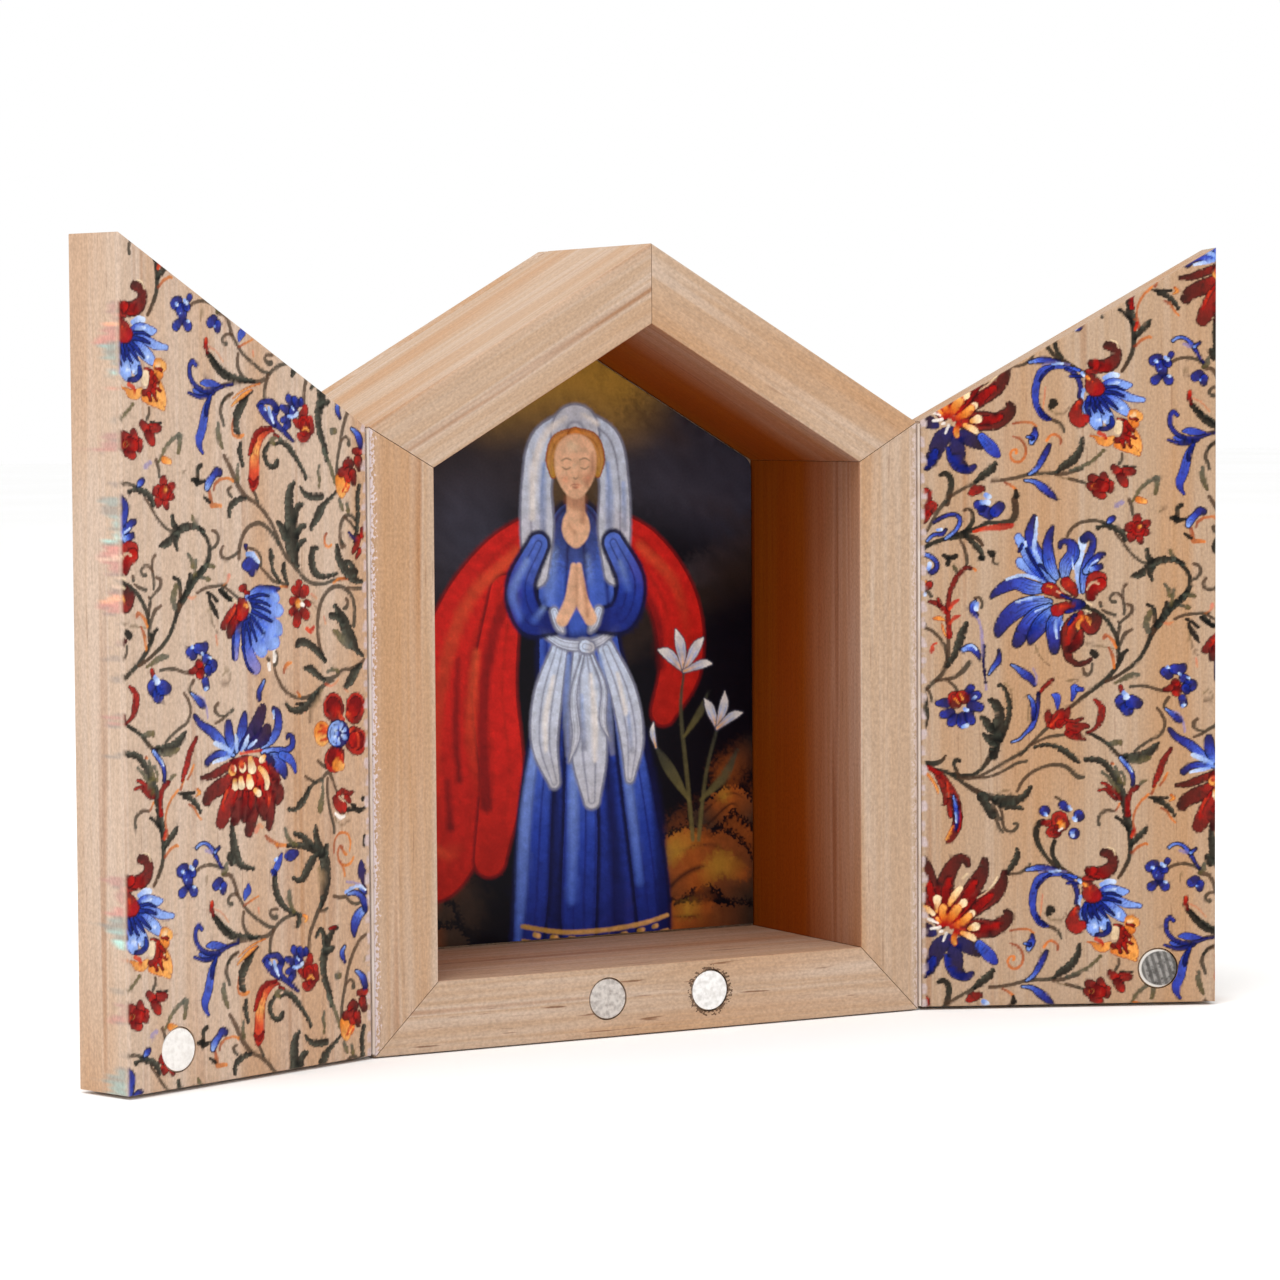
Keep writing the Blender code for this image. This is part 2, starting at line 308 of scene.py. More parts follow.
@dataclass
class Canvas:
    """A grid of ink over a rectangle, in millimetres, which can repeat upwards.

    The ink is kept as linear colour times cover, and cover.
    """

    ROUGH_MM = 0.28
    WASH_MM = 0.9
    ROUGH_SHARE = 0.10
    WASH_SHARE = 0.16
    NOTCH_LEAN = 0.7
    EDGE_CELLS = 1.4

    left: float
    bottom: float
    width: float
    height: float
    pitch: float = 0.08
    repeats: bool = False
    lean: float = 0.0
    spread: float = 0.0
    ink: np.ndarray = field(init=False)
    rough: np.ndarray = field(init=False)
    wash: np.ndarray = field(init=False)

    def __post_init__(self) -> None:
        """Makes the empty grid and the noise that roughens what is painted."""
        shape = (round(self.height / self.pitch), round(self.width / self.pitch))
        self.ink = np.zeros((*shape, 4))
        self.rough = lattice_noise(shape, self.ROUGH_MM / self.pitch, 5)
        self.wash = lattice_noise(shape, self.WASH_MM / self.pitch, 9)

    def lay(self, stroke: Stroke) -> None:
        """Lays one stroke over what is there.

        Args:
            stroke: the stroke to lay.
        """
        rows, columns = self.ink.shape[:2]
        pitch, touch, spine = self.pitch, stroke.touch, stroke.spine()
        spine[:, 0] -= self.lean * spine[:, 1]
        spine[:, 2] += self.spread
        room = touch.soft / 2 + touch.swell + 3 * pitch
        reach = spine[:, 2].max() + room
        low = (spine[:, :2].min(0) - reach - (self.left, self.bottom)) / pitch
        high = (spine[:, :2].max(0) + reach - (self.left, self.bottom)) / pitch
        x0, x1 = max(int(low[0]), 0), min(int(high[0]) + 1, columns)
        y0, y1 = math.floor(low[1]), int(high[1]) + 1
        if not self.repeats:
            y0, y1 = max(y0, 0), min(y1, rows)
        if x1 <= x0 or y1 <= y0:
            return
        xs = self.left + (np.arange(x0, x1) + 0.5) * pitch
        ys = self.bottom + (np.arange(y0, y1) + 0.5) * pitch
        gap, along, side, length = self._measure(spine, xs, ys, room)
        pick = np.ix_(np.arange(y0, y1) % rows, np.arange(x0, x1))
        # Notches down both edges that point forward, as on an acanthus leaf, one in each millimetre
        out = np.minimum(np.abs(side), 1.0)
        beat = (along * length - out * self.NOTCH_LEAN) % 1.0 if touch.barbs else np.zeros_like(gap)
        gap = gap + touch.ragged * self.rough[pick] - touch.swell + touch.barbs * beat * out**2
        cover = np.clip(0.5 - gap / (self.EDGE_CELLS * pitch + touch.soft), 0.0, 1.0)
        cover = (cover * cover * (3 - 2 * cover) * touch.cover)[..., None]
        colour = touch.colour(gap, along, side, beat)
        tone = 1 + self.WASH_SHARE * self.wash[pick] + self.ROUGH_SHARE * self.rough[pick]
        colour *= tone[..., None]
        laid = np.concatenate([colour, np.ones_like(cover)], 2)
        self.ink[pick] = self.ink[pick] * (1 - cover) + laid * cover

    @staticmethod
    def _measure(
        spine: np.ndarray, xs: np.ndarray, ys: np.ndarray, room: float
    ) -> tuple[np.ndarray, np.ndarray, np.ndarray, float]:
        """Measures each cell near a stroke against its nearest disc.

        Args:
            spine: rows of across, up and radius.
            xs: the cells' places across.
            ys: their places up.
            room: how far beyond a disc its cells are looked at.

        Returns:
            Distance outside the stroke, place along it from 0 to 1, place across it from -1 to 1, and
            its length.
        """
        gap = np.full((len(ys), len(xs)), 9.0)
        along, side = np.zeros_like(gap), np.zeros_like(gap)
        run = np.concatenate([[0.0], np.cumsum(np.hypot(*np.diff(spine[:, :2], axis=0).T))])
        length = max(run[-1], 1e-6)
        run /= length
        for i, ((ax, ay, ar), (bx, by, br)) in enumerate(zip(spine, spine[1:])):
            wide = max(ar, br) + room
            c = slice(*np.searchsorted(xs, (min(ax, bx) - wide, max(ax, bx) + wide)))
            r = slice(*np.searchsorted(ys, (min(ay, by) - wide, max(ay, by) + wide)))
            if c.start >= c.stop or r.start >= r.stop:
                continue
            px, py = xs[c][None, :] - ax, ys[r][:, None] - ay
            dx, dy = bx - ax, by - ay
            t = np.clip((px * dx + py * dy) / max(dx * dx + dy * dy, 1e-9), 0.0, 1.0)
            away = np.hypot(px - t * dx, py - t * dy)
            radius = ar + t * (br - ar)
            closer = away - radius < gap[r, c]
            turn = np.sign(dx * py - dy * px) * away / np.maximum(radius, 0.05)
            place = run[i] + t * (run[i + 1] - run[i])
            for grid, found in ((gap, away - radius), (along, place), (side, turn)):
                grid[r, c] = np.where(closer, found, grid[r, c])
        return gap, along, side, length

    def at(self, across: np.ndarray, up: np.ndarray) -> np.ndarray:
        """Reads the ink at any places.

        Args:
            across: places across, in millimetres.
            up: places up, in millimetres.

        Returns:
            Colour times cover, and cover, for each place.
        """
        rows, columns = self.ink.shape[:2]
        across = across - self.lean * up
        x = np.clip((across - self.left) / self.pitch - 0.5, 0, columns - 1.001)
        y = (up - self.bottom) / self.pitch - 0.5
        y = y % rows if self.repeats else np.clip(y, 0, rows - 1.001)
        ix, iy = x.astype(int), y.astype(int)
        fx, fy = (x - ix)[..., None], (y - iy)[..., None]
        low, high = (
            self.ink[row % rows, ix] * (1 - fx) + self.ink[row % rows, ix + 1] * fx for row in (iy, iy + 1)
        )
        return low * (1 - fy) + high * fy


# Closed meshes with a printed face


@dataclass
class PrintedPlate:
    """A flat board or card with one printed face, built as one closed mesh.

    The printed face lies in the plane y = face and the plate lies on the side of it that `facing`
    looks away from. Its points lie close together where the print changes and far apart elsewhere.
    """

    COARSEST = 16
    RIM_GAP = 0.00012
    FIRST_LIMIT = 0.12
    LEAST_LIMIT = 0.003
    ROUNDS = 9
    POCKET_SIDES = 128
    EYE_POWERS = (0.45, 0.45, 0.45, 1.0)
    COVER_WEIGHT = 0.6
    BLEED_ROWS = 10

    corners: list[tuple[float, float]]
    face: float
    thickness: float
    facing: int
    ink_at: Callable[[np.ndarray, np.ndarray], np.ndarray]
    arris: float = 0.0002
    edge_step: float = 0.0004
    finest: float = 0.0001
    points: int = 82000
    pocket: tuple[float, float, float, float] | None = None
    bleed: float = 0.0
    bleed_side: int = -1

    def _inset(self, distance: float) -> np.ndarray:
        """Moves the outline's sides inwards.

        Args:
            distance: how far, in metres.

        Returns:
            The corners, in the outline's order.
        """
        corners = np.array(self.corners)
        ahead = np.roll(corners, -1, axis=0) - corners
        ahead /= np.linalg.norm(ahead, axis=1)[:, None]
        inward = np.stack([-ahead[:, 1], ahead[:, 0]], 1)
        before = np.roll(inward, 1, axis=0)
        turn = before[:, 0] * inward[:, 1] - before[:, 1] * inward[:, 0]
        x = (inward[:, 1] - before[:, 1]) * distance / turn
        z = (before[:, 0] - inward[:, 0]) * distance / turn
        return corners + np.stack([x, z], 1)

    def _ring(self, distance: float) -> np.ndarray:
        """Spaces points closely along the inset outline, as many on each side at every inset.

        Args:
            distance: the inset, in metres.

        Returns:
            Rows of x and z.
        """
        corners, outer = self._inset(distance), np.array(self.corners)
        points = []
        for i in range(len(corners)):
            j = (i + 1) % len(corners)
            count = max(1, round(float(np.linalg.norm(outer[j] - outer[i])) / self.edge_step))
            t = np.arange(count)[:, None] / count
            points.append(corners[i] * (1 - t) + corners[j] * t)
        return np.vstack(points)

    @staticmethod
    def _depth(points: np.ndarray, corners: np.ndarray) -> np.ndarray:
        """Finds how far inside an outline each point lies.

        Args:
            points: rows of x and z.
            corners: the outline's corners.

        Returns:
            Metres, negative outside.
        """
        depth = np.full(len(points), 9.0)
        for a, b in zip(corners, np.roll(corners, -1, axis=0)):
            way = (b - a) / np.linalg.norm(b - a)
            away = points - a
            depth = np.minimum(depth, way[0] * away[:, 1] - way[1] * away[:, 0])
        return depth

    def _faults(self, look: np.ndarray) -> dict[int, np.ndarray]:
        """Finds how far the print strays from each square's corners, for squares of every size.

        Args:
            look: the ink at the finest grid's points.

        Returns:
            The largest difference in each square, by the square's side in cells.
        """
        faults, size = {}, 2
        while size <= self.COARSEST:
            half = size // 2
            node = look[::size, ::size]
            centre = (node[:-1, :-1] + node[1:, :-1] + node[:-1, 1:] + node[1:, 1:]) / 4
            fault = np.abs(look[half::size, half::size] - centre).max(-1)
            for edge, ends in (
                (look[::size, half::size], (node[:, :-1], node[:, 1:])),
                (look[half::size, ::size], (node[:-1], node[1:])),
            ):
                off = np.abs(edge - (ends[0] + ends[1]) / 2).max(-1)
                rows, columns = fault.shape
                fault = np.maximum(fault, np.maximum(off[:rows, :columns], off[-rows:, -columns:]))
            if size > 2:
                for i, j in ((0, 0), (0, 1), (1, 0), (1, 1)):
                    fault = np.maximum(fault, faults[half][i::2, j::2])
            faults[size] = fault
            size *= 2
        return faults

    def _face_points(self) -> np.ndarray:
        """Picks the printed face's points by dividing squares until the print is held.

        Returns:
            Rows of x and z, without those on the rims.
        """
        low, high, top = np.min(self.corners, 0), np.max(self.corners, 0), self.COARSEST
        shape = [int(math.ceil((high[i] - low[i]) / self.finest / top)) * top for i in (1, 0)]
        z, x = [low[i] + np.arange(n + 1) * self.finest for i, n in zip((1, 0), shape)]
        look = self.ink_at(*np.meshgrid(x, z)) ** self.EYE_POWERS
        look[..., 3] *= self.COVER_WEIGHT
        faults = self._faults(look)
        limit, step = self.FIRST_LIMIT, self.FIRST_LIMIT / 2
        inner = self._inset(self.arris + self.RIM_GAP)
        best = found = np.zeros((0, 2))
        for _ in range(self.ROUNDS):
            keep = np.zeros((shape[0] + 1, shape[1] + 1), bool)
            active, size = np.ones(faults[top].shape, bool), top
            while size >= 1:
                rows, columns = np.nonzero(active)
                for i, j in ((0, 0), (0, 1), (1, 0), (1, 1)):
                    keep[(rows + i) * size, (columns + j) * size] = True
                if size > 1:
                    active = np.repeat(np.repeat(active & (faults[size] > limit), 2, 0), 2, 1)
                size //= 2
            rows, columns = np.nonzero(keep)
            found = np.stack([x[columns], z[rows]], 1)
            found = found[self._depth(found, inner) > 0]
            if self.pocket:
                away = np.hypot(found[:, 0] - self.pocket[0], found[:, 1] - self.pocket[1])
                found = found[away > self.pocket[2] + self.RIM_GAP]
            fits = len(found) <= self.points
            best = found if fits else best
            limit = max(limit - step if fits else limit + step, self.LEAST_LIMIT)
            step /= 2
        return best if len(best) else found

    def _edge_rows(self) -> list[tuple[np.ndarray, float]]:
        """Lists the rings of points from the printed face's rim to the back's.

        Returns:
            Each ring and how far it lies behind the printed face.
        """
        rows = []
        for turn in (0.0, 30.0, 60.0, 90.0):
            cos, sin = math.cos(math.radians(turn)), math.sin(math.radians(turn))
            rows.append((self._ring(self.arris * (1 - sin)), self.arris * (1 - cos)))
        if self.bleed:
            parts = np.linspace(0.1, 1.0, self.BLEED_ROWS)
            rows += [(self._ring(0.0), self.bleed * part) for part in parts]
        for turn in (90.0, 45.0, 0.0):
            cos, sin = math.cos(math.radians(turn)), math.sin(math.radians(turn))
            rows.append((self._ring(self.arris * (1 - sin)), self.thickness - self.arris * (1 - cos)))
        return rows

    def build(self, name: str) -> bpy.types.Object:
        """Builds the plate.

        Args:
            name: the object's name.

        Returns:
            The object, whose points carry the print as an attribute.
        """
        rows = self._edge_rows()
        rim = len(rows[0][0])
        px, pz, radius, depth = self.pocket or (0.0, 0.0, 0.0, 0.0)
        angles = np.arange(self.POCKET_SIDES if self.pocket else 0) * math.tau / self.POCKET_SIDES
        hole = np.stack([px + radius * np.cos(angles), pz + radius * np.sin(angles)], 1)
        plane = np.vstack([rows[0][0], hole, self._face_points()])
        edges = [(i, (i + 1) % rim) for i in range(rim)]
        edges += [(rim + i, rim + (i + 1) % len(hole)) for i in range(len(hole))]
        cut = delaunay_2d_cdt([Vector(p / MM) for p in plane], edges, [], 0, 1e-6)
        flat = np.array([tuple(p) for p in cut[0]]) * MM
        source = {origin: i for i, origins in enumerate(cut[3]) for origin in origins}
        middles = flat[np.array(cut[2])].mean(1)
        kept = np.hypot(middles[:, 0] - px, middles[:, 1] - pz) > radius
        faces = [tuple(face) for face, keep in zip(cut[2], kept) if keep]
        spots, inks, total = [self._spots(flat, 0.0)], [self.ink_at(flat[:, 0], flat[:, 1])], len(flat)
        walls = [([source[i] for i in range(rim)], rows[1:], 1)]
        if self.pocket:
            deeps = [(hole, depth * 0.1), (hole, depth)]
            walls.append(([source[rim + i] for i in range(len(hole))], deeps, -1))
        for last, rings, way in walls:
            count = len(last)
            for ring, deep in rings:
                spots.append(self._spots(ring, deep))
                inks.append(self._edge_ink(ring, deep) if way > 0 else np.zeros((count, 4)))
                now = list(range(total, total + count))
                for i in range(count):
                    j = (i + 1) % count
                    faces.append((last[i], last[j], now[j], now[i])[::way])
                last, total = now, total + count
            faces.append(tuple(last)[::way])
        mesh = bpy.data.meshes.new(name)
        mesh.from_pydata(np.vstack(spots).tolist(), [], faces)
        layer = mesh.color_attributes.new(INK, "FLOAT_COLOR", "POINT")
        layer.data.foreach_set("color", np.clip(np.vstack(inks), 0, 1).astype(np.float32).ravel())
        bm = bmesh.new()
        bm.from_mesh(mesh)
        bmesh.ops.delete(bm, geom=[v for v in bm.verts if not v.link_faces], context="VERTS")
        bmesh.ops.triangulate(bm, faces=[f for f in bm.faces if len(f.verts) > 4])
        bmesh.ops.recalc_face_normals(bm, faces=bm.faces)
        bm.to_mesh(mesh)
        bm.free()
        obj = bpy.data.objects.new(name, mesh)
        bpy.context.scene.collection.objects.link(obj)
        mesh.shade_smooth()
        mesh.set_sharp_from_angle(angle=math.radians(32))
        return obj

    def _spots(self, ring: np.ndarray, deep: float) -> np.ndarray:
        """Places flat points in space.

        Args:
            ring: rows of x and z.
            deep: how far they lie behind the printed face.

        Returns:
            Rows of x, y and z.
        """
        return np.column_stack([ring[:, 0], np.full(len(ring), self.face - self.facing * deep), ring[:, 1]])

    def _edge_ink(self, ring: np.ndarray, deep: float) -> np.ndarray:
        """The ink that crept over the plate's edge.

        Args:
            ring: the edge's points.
            deep: how far they lie behind the printed face.

        Returns:
            The ink at each point.
        """
        if deep <= self.arris:
            return self.ink_at(ring[:, 0], ring[:, 1]) * (1 - 0.5 * deep / self.arris)
        if not self.bleed:
            return np.zeros((len(ring), 4))
        free = np.abs(ring[:, 0] - self.corners[self.bleed_side][0]) < self.arris * 1.5
        drag = self.ink_at(ring[:, 0], ring[:, 1] + deep * 0.08)
        up = ring[:, 1] / MM
        waves = 0.25 * np.sin(up * 0.9) + 0.13 * np.sin(up * 3.1 + 1.0) + 0.1 * np.sin(up * 7.3)
        strength = np.clip((self.bleed * (0.62 + waves) - deep) / (0.25 * self.bleed), 0.0, 1.0) * 0.52
        strength *= np.clip(deep / 0.0012, 0.4, 1.0)
        # The red ink ran out to pink and the blue to turquoise
        drag[:, 0] += 0.6 * np.maximum(drag[:, 0] - drag[:, 2], 0.0)
        drag[:, 1] += 0.9 * np.maximum(drag[:, 2] - drag[:, 0], 0.0)
        drag[:, :3] += 0.2 * drag[:, 3:]
        return drag * (strength * free)[:, None]


# Finishes


@dataclass(frozen=True)
class Finish:
    """What all finishes share: a material whose shader sockets are fed by its own nodes."""

    name: str

    def material(self) -> bpy.types.Material:
        """Builds the finish.

        Returns:
            The material.
        """
        made = bpy.data.materials.new(self.name)
        made.use_nodes = True
        tree = made.node_tree
        place = add_node(tree, "ShaderNodeTexCoord").outputs["Object"]
        feed(tree.nodes["Principled BSDF"], self.surface(tree, place))
        return made

    def surface(self, tree: Tree, place: Socket) -> dict[str, object]:
        """Builds the nodes.

        Args:
            tree: the material's nodes.
            place: the place on the piece, in metres.

        Returns:
            What each socket of the shader gets.
        """
        raise NotImplementedError

    @staticmethod
    def inked(tree: Tree, ground: object) -> Socket:
        """Lays the print over a ground, which shows where the ink doesn't cover it.

        Args:
            tree: the material's nodes.
            ground: the ground's colour.

        Returns:
            The printed colour.
        """
        ink = add_node(tree, "ShaderNodeAttribute", attribute_name=INK).outputs
        bare = add_node(tree, "ShaderNodeMath", {0: 1.0, 1: ink["Alpha"]}, operation="SUBTRACT").outputs[0]
        laid = {0: ground, 1: bare, 2: ink["Color"]}
        return add_node(tree, "ShaderNodeVectorMath", laid, operation="MULTIPLY_ADD").outputs[0]


@dataclass(frozen=True)
class SawnPine(Finish):
    """Scots pine, sawn and lightly sanded, bare.

    The pale early wood with narrow darker late wood gives soft stripes along the grain; the fine
    saw leaves short raised fibres that make the face look like felt from close by.
    """

    pale: str = "#c2aa96"
    warm: str = "#b69679"
    late: str = "#9a6c48"
    heart: str = "#b5814f"
    resin: str = "#6d4227"
    # Painted shade: faces inside the box are multiplied towards this brown, more so further back
    hollow_shade: str = "#c16f19"
    scraps: str = "#d8cbd0"
    torn_edge_dark: str = "#3a2418"
    ring_mm: float = 2.6
    ring_share: float = 0.8
    fibre_mm: float = 0.24
    heart_share: float = 0.5
    resin_share: float = 0.25
    hollow_shade_share: float = 0.0
    hollow_half: float = 35.05
    hollow_floor: float = 9.9
    hollow_peak: float = 102.45
    hollow_front: float = -16.5
    scraps_share: float = 0.0
    scraps_edge: float = 45.0
    scraps_reach: float = 2.0
    scraps_front: float = -15.7
    torn_hole: tuple[float, float, float] | None = None
    turn: tuple[float, float, float] = (0.0, 0.0, 0.0)
    seed: float = 0.0
    printed: bool = False
    roughness: float = 0.62

    def surface(self, tree: Tree, place: Socket) -> dict[str, object]:
        """Draws rings, heartwood, resin and fibres, the print, painted shade inside the box, and what the
        board went through.

        Args:
            tree: the material's nodes.
            place: the place on the board, in metres.

        Returns:
            What each socket of the shader gets.
        """
        to_mm = {0: place, 1: (1 / MM, 1 / MM, 1 / MM)}
        mm = add_node(tree, "ShaderNodeVectorMath", to_mm, operation="MULTIPLY").outputs[0]
        rotation = [math.radians(angle) for angle in self.turn]
        offset = [self.seed * step for step in (31.7, 17.3, 9.1)]
        turned = add_node(
            tree, "ShaderNodeMapping", {"Vector": mm, "Location": offset, "Rotation": rotation}
        ).outputs[0]

        def grain(along: float, across: float, detail: float, warp: float = 0.0) -> Socket:
            """Makes noise that runs with the grain.

            Args:
                along: its size along the grain, in millimetres.
                across: its size across the grain, in millimetres.
                detail: how many finer layers it has.
                warp: how far it is bent.

            Returns:
                Values from 0 to 1.
            """
            scale = {0: turned, 1: (1 / along, 1 / across, 1 / across)}
            stretched = add_node(tree, "ShaderNodeVectorMath", scale, operation="MULTIPLY").outputs[0]
            settings = {"Vector": stretched, "Scale": 1.0, "Detail": detail, "Distortion": warp}
            return add_node(tree, "ShaderNodeTexNoise", settings).outputs["Fac"]

        rings = {"Fac": grain(110, self.ring_mm, 2.0, 0.15)}
        ramp = ((0.30, self.pale), (0.50, self.warm), (0.60, self.pale), (0.72, self.late))
        striped = add_node(tree, "ShaderNodeValToRGB", rings, ramp=ramp).outputs["Color"]
        mix = {"Factor": self.ring_share, 6: self.pale, 7: striped}
        colour = add_node(tree, "ShaderNodeMix", mix, data_type="RGBA").outputs[2]
        # Bands of heartwood about a centimetre wide, then streaks of resin half a millimetre wide
        for noise, low, high, share, tint in (
            (grain(80, 9, 1.0), 0.46, 0.66, self.heart_share, self.heart),
            (grain(9, 0.55, 1.0), 0.69, 0.76, self.resin_share, self.resin),
        ):
            limits = {"Value": noise, "From Min": low, "From Max": high, "To Max": share}
            part = add_node(tree, "ShaderNodeMapRange", limits).outputs[0]
            mix = {"Factor": part, 6: colour, 7: tint}
            colour = add_node(tree, "ShaderNodeMix", mix, data_type="RGBA").outputs[2]
        if self.printed:
            colour = self.inked(tree, colour)
        # Fibres along the grain and the fuzz that the saw raised, about a third of a millimetre
        fibre, fuzz = grain(7, self.fibre_mm, 3.0), grain(0.5, 0.35, 3.0)
        for noise, high, dark, light in ((fibre, 0.72, 0.93, 1.04), (fuzz, 0.7, 0.85, 1.12)):
            limits = {"Value": noise, "From Min": 0.3, "From Max": high, "To Min": dark, "To Max": light}
            tone = add_node(tree, "ShaderNodeMapRange", limits).outputs[0]
            colour = add_node(
                tree, "ShaderNodeVectorMath", {0: colour, 1: tone}, operation="MULTIPLY"
            ).outputs[0]
        # The first mix multiplies painted shade into the faces inside the box
        for wanted, share_of, tint, blend in (
            (self.hollow_shade_share, self._painted_hollow_shade, self.hollow_shade, "MULTIPLY"),
            (self.scraps_share, self._under_scraps, self.scraps, "MIX"),
            (self.torn_hole, self._round_hole, self.torn_edge_dark, "MIX"),
        ):
            if wanted:
                mix = {"Factor": share_of(tree, mm, fuzz), 6: colour, 7: tint}
                colour = add_node(tree, "ShaderNodeMix", mix, data_type="RGBA", blend_type=blend).outputs[2]
        raised = add_node(tree, "ShaderNodeMath", {0: fibre, 1: fuzz}, operation="ADD").outputs[0]
        relief = {"Height": raised, "Strength": 0.35, "Distance": 0.00006}
        return {
            "Base Color": colour,
            "Normal": add_node(tree, "ShaderNodeBump", relief).outputs[0],
            "Roughness": self.roughness,
            "IOR": 1.5,
            "Specular IOR Level": 0.1,
        }

    def _painted_hollow_shade(self, tree: Tree, mm: Socket, fuzz: Socket) -> Socket:
        """Finds the faces inside the box and paints shade on them, darker further back.

        Args:
            tree: the material's nodes.
            mm: the place, in millimetres.
            fuzz: noise of the raised fibres, which this doesn't follow.

        Returns:
            The share of painted shade.
        """
        x, y, z = add_node(tree, "ShaderNodeSeparateXYZ", {0: mm}).outputs[:3]
        away = add_node(tree, "ShaderNodeMath", {0: x}, operation="ABSOLUTE").outputs[0]
        under_roof = {0: away, 1: math.tan(math.radians(30.0)), 2: z}
        roof = add_node(tree, "ShaderNodeMath", under_roof, operation="MULTIPLY_ADD").outputs[0]
        share = self.hollow_shade_share
        for value, none, full in (
            (away, self.hollow_half + 0.1, self.hollow_half),
            (z, self.hollow_floor - 0.05, self.hollow_floor + 0.05),
            (roof, self.hollow_peak + 0.15, self.hollow_peak + 0.02),
            (y, self.hollow_front - 12.0, self.hollow_front + 17.0),
        ):
            limits = {"Value": value, "From Min": none, "From Max": full}
            part = add_node(tree, "ShaderNodeMapRange", limits).outputs[0]
            share = add_node(tree, "ShaderNodeMath", {0: share, 1: part}, operation="MULTIPLY").outputs[0]
        return share

    def _under_scraps(self, tree: Tree, mm: Socket, fuzz: Socket) -> Socket:
        """Finds the milky scraps of hinge film left along the box's outer front edges.

        Args:
            tree: the material's nodes.
            mm: the place, in millimetres.
            fuzz: noise that tears the scraps.

        Returns:
            The share of scraps.
        """
        x, y = add_node(tree, "ShaderNodeSeparateXYZ", {0: mm}).outputs[:2]
        away = add_node(tree, "ShaderNodeMath", {0: x}, operation="ABSOLUTE").outputs[0]
        inner, outer = self.scraps_edge - self.scraps_reach, self.scraps_edge
        limits = {"Value": away, "From Min": inner, "From Max": outer, "To Max": 0.55}
        near = add_node(tree, "ShaderNodeMapRange", limits).outputs[0]
        ahead = {0: self.scraps_front, 1: y}
        front = add_node(tree, "ShaderNodeMath", ahead, operation="GREATER_THAN").outputs[0]
        torn = {0: near, 1: front, 2: fuzz}
        part = add_node(tree, "ShaderNodeMath", torn, operation="MULTIPLY_ADD").outputs[0]
        limits = {"Value": part, "From Min": 0.86, "From Max": 0.96, "To Max": self.scraps_share}
        return add_node(tree, "ShaderNodeMapRange", limits).outputs[0]

    def _round_hole(self, tree: Tree, mm: Socket, fuzz: Socket) -> Socket:
        """Finds the torn edge of a magnet's hole, which is painted dark with a ragged outline.

        Args:
            tree: the material's nodes.
            mm: the place, in millimetres.
            fuzz: noise that tears the edge.

        Returns:
            The share of dark edge.
        """
        x, z, radius = self.torn_hole
        flat = add_node(
            tree, "ShaderNodeVectorMath", {0: mm, 1: (1.0, 0.0, 1.0)}, operation="MULTIPLY"
        ).outputs[0]
        away = add_node(
            tree, "ShaderNodeVectorMath", {0: flat, 1: (x, 0.0, z)}, operation="DISTANCE"
        ).outputs["Value"]
        limits = {"Value": fuzz, "From Min": 0.42, "From Max": 0.62, "To Min": -0.25, "To Max": 0.65}
        share = add_node(tree, "ShaderNodeMapRange", limits).outputs[0]
        for other, operation in ((radius, "ADD"), (away, "GREATER_THAN"), (0.8, "MULTIPLY")):
            share = add_node(tree, "ShaderNodeMath", {0: share, 1: other}, operation=operation).outputs[0]
        return share


@dataclass(frozen=True)
class PrintedCard(Finish):
    """Coated card, printed and pressed: deep colours under an even satin coat."""

    name: str = "coated_card_printed"
    paper: tuple[float, float, float] = (0.62, 0.55, 0.45)

    def surface(self, tree: Tree, place: Socket) -> dict[str, object]:
        """Lays the print over the paper's tooth.

        Args:
            tree: the material's nodes.
            place: the place on the card, in metres.

        Returns:
            What each socket of the shader gets.
        """
        # Paper fibre of about 0.1 mm, drawn 0.4 mm coarse so that it shows
        fibre = {"Vector": place, "Scale": 1 / (0.4 * MM), "Detail": 2.0}
        tooth = add_node(tree, "ShaderNodeTexNoise", fibre).outputs["Fac"]
        limits = {"Value": tooth, "From Min": 0.3, "From Max": 0.7, "To Min": 0.92, "To Max": 1.06}
        shade = {0: self.inked(tree, self.paper), 1: add_node(tree, "ShaderNodeMapRange", limits).outputs[0]}
        return {
            "Base Color": add_node(tree, "ShaderNodeVectorMath", shade, operation="MULTIPLY").outputs[0],
            "Roughness": 0.42,
            "IOR": 1.5,
            "Specular IOR Level": 0.1,
        }


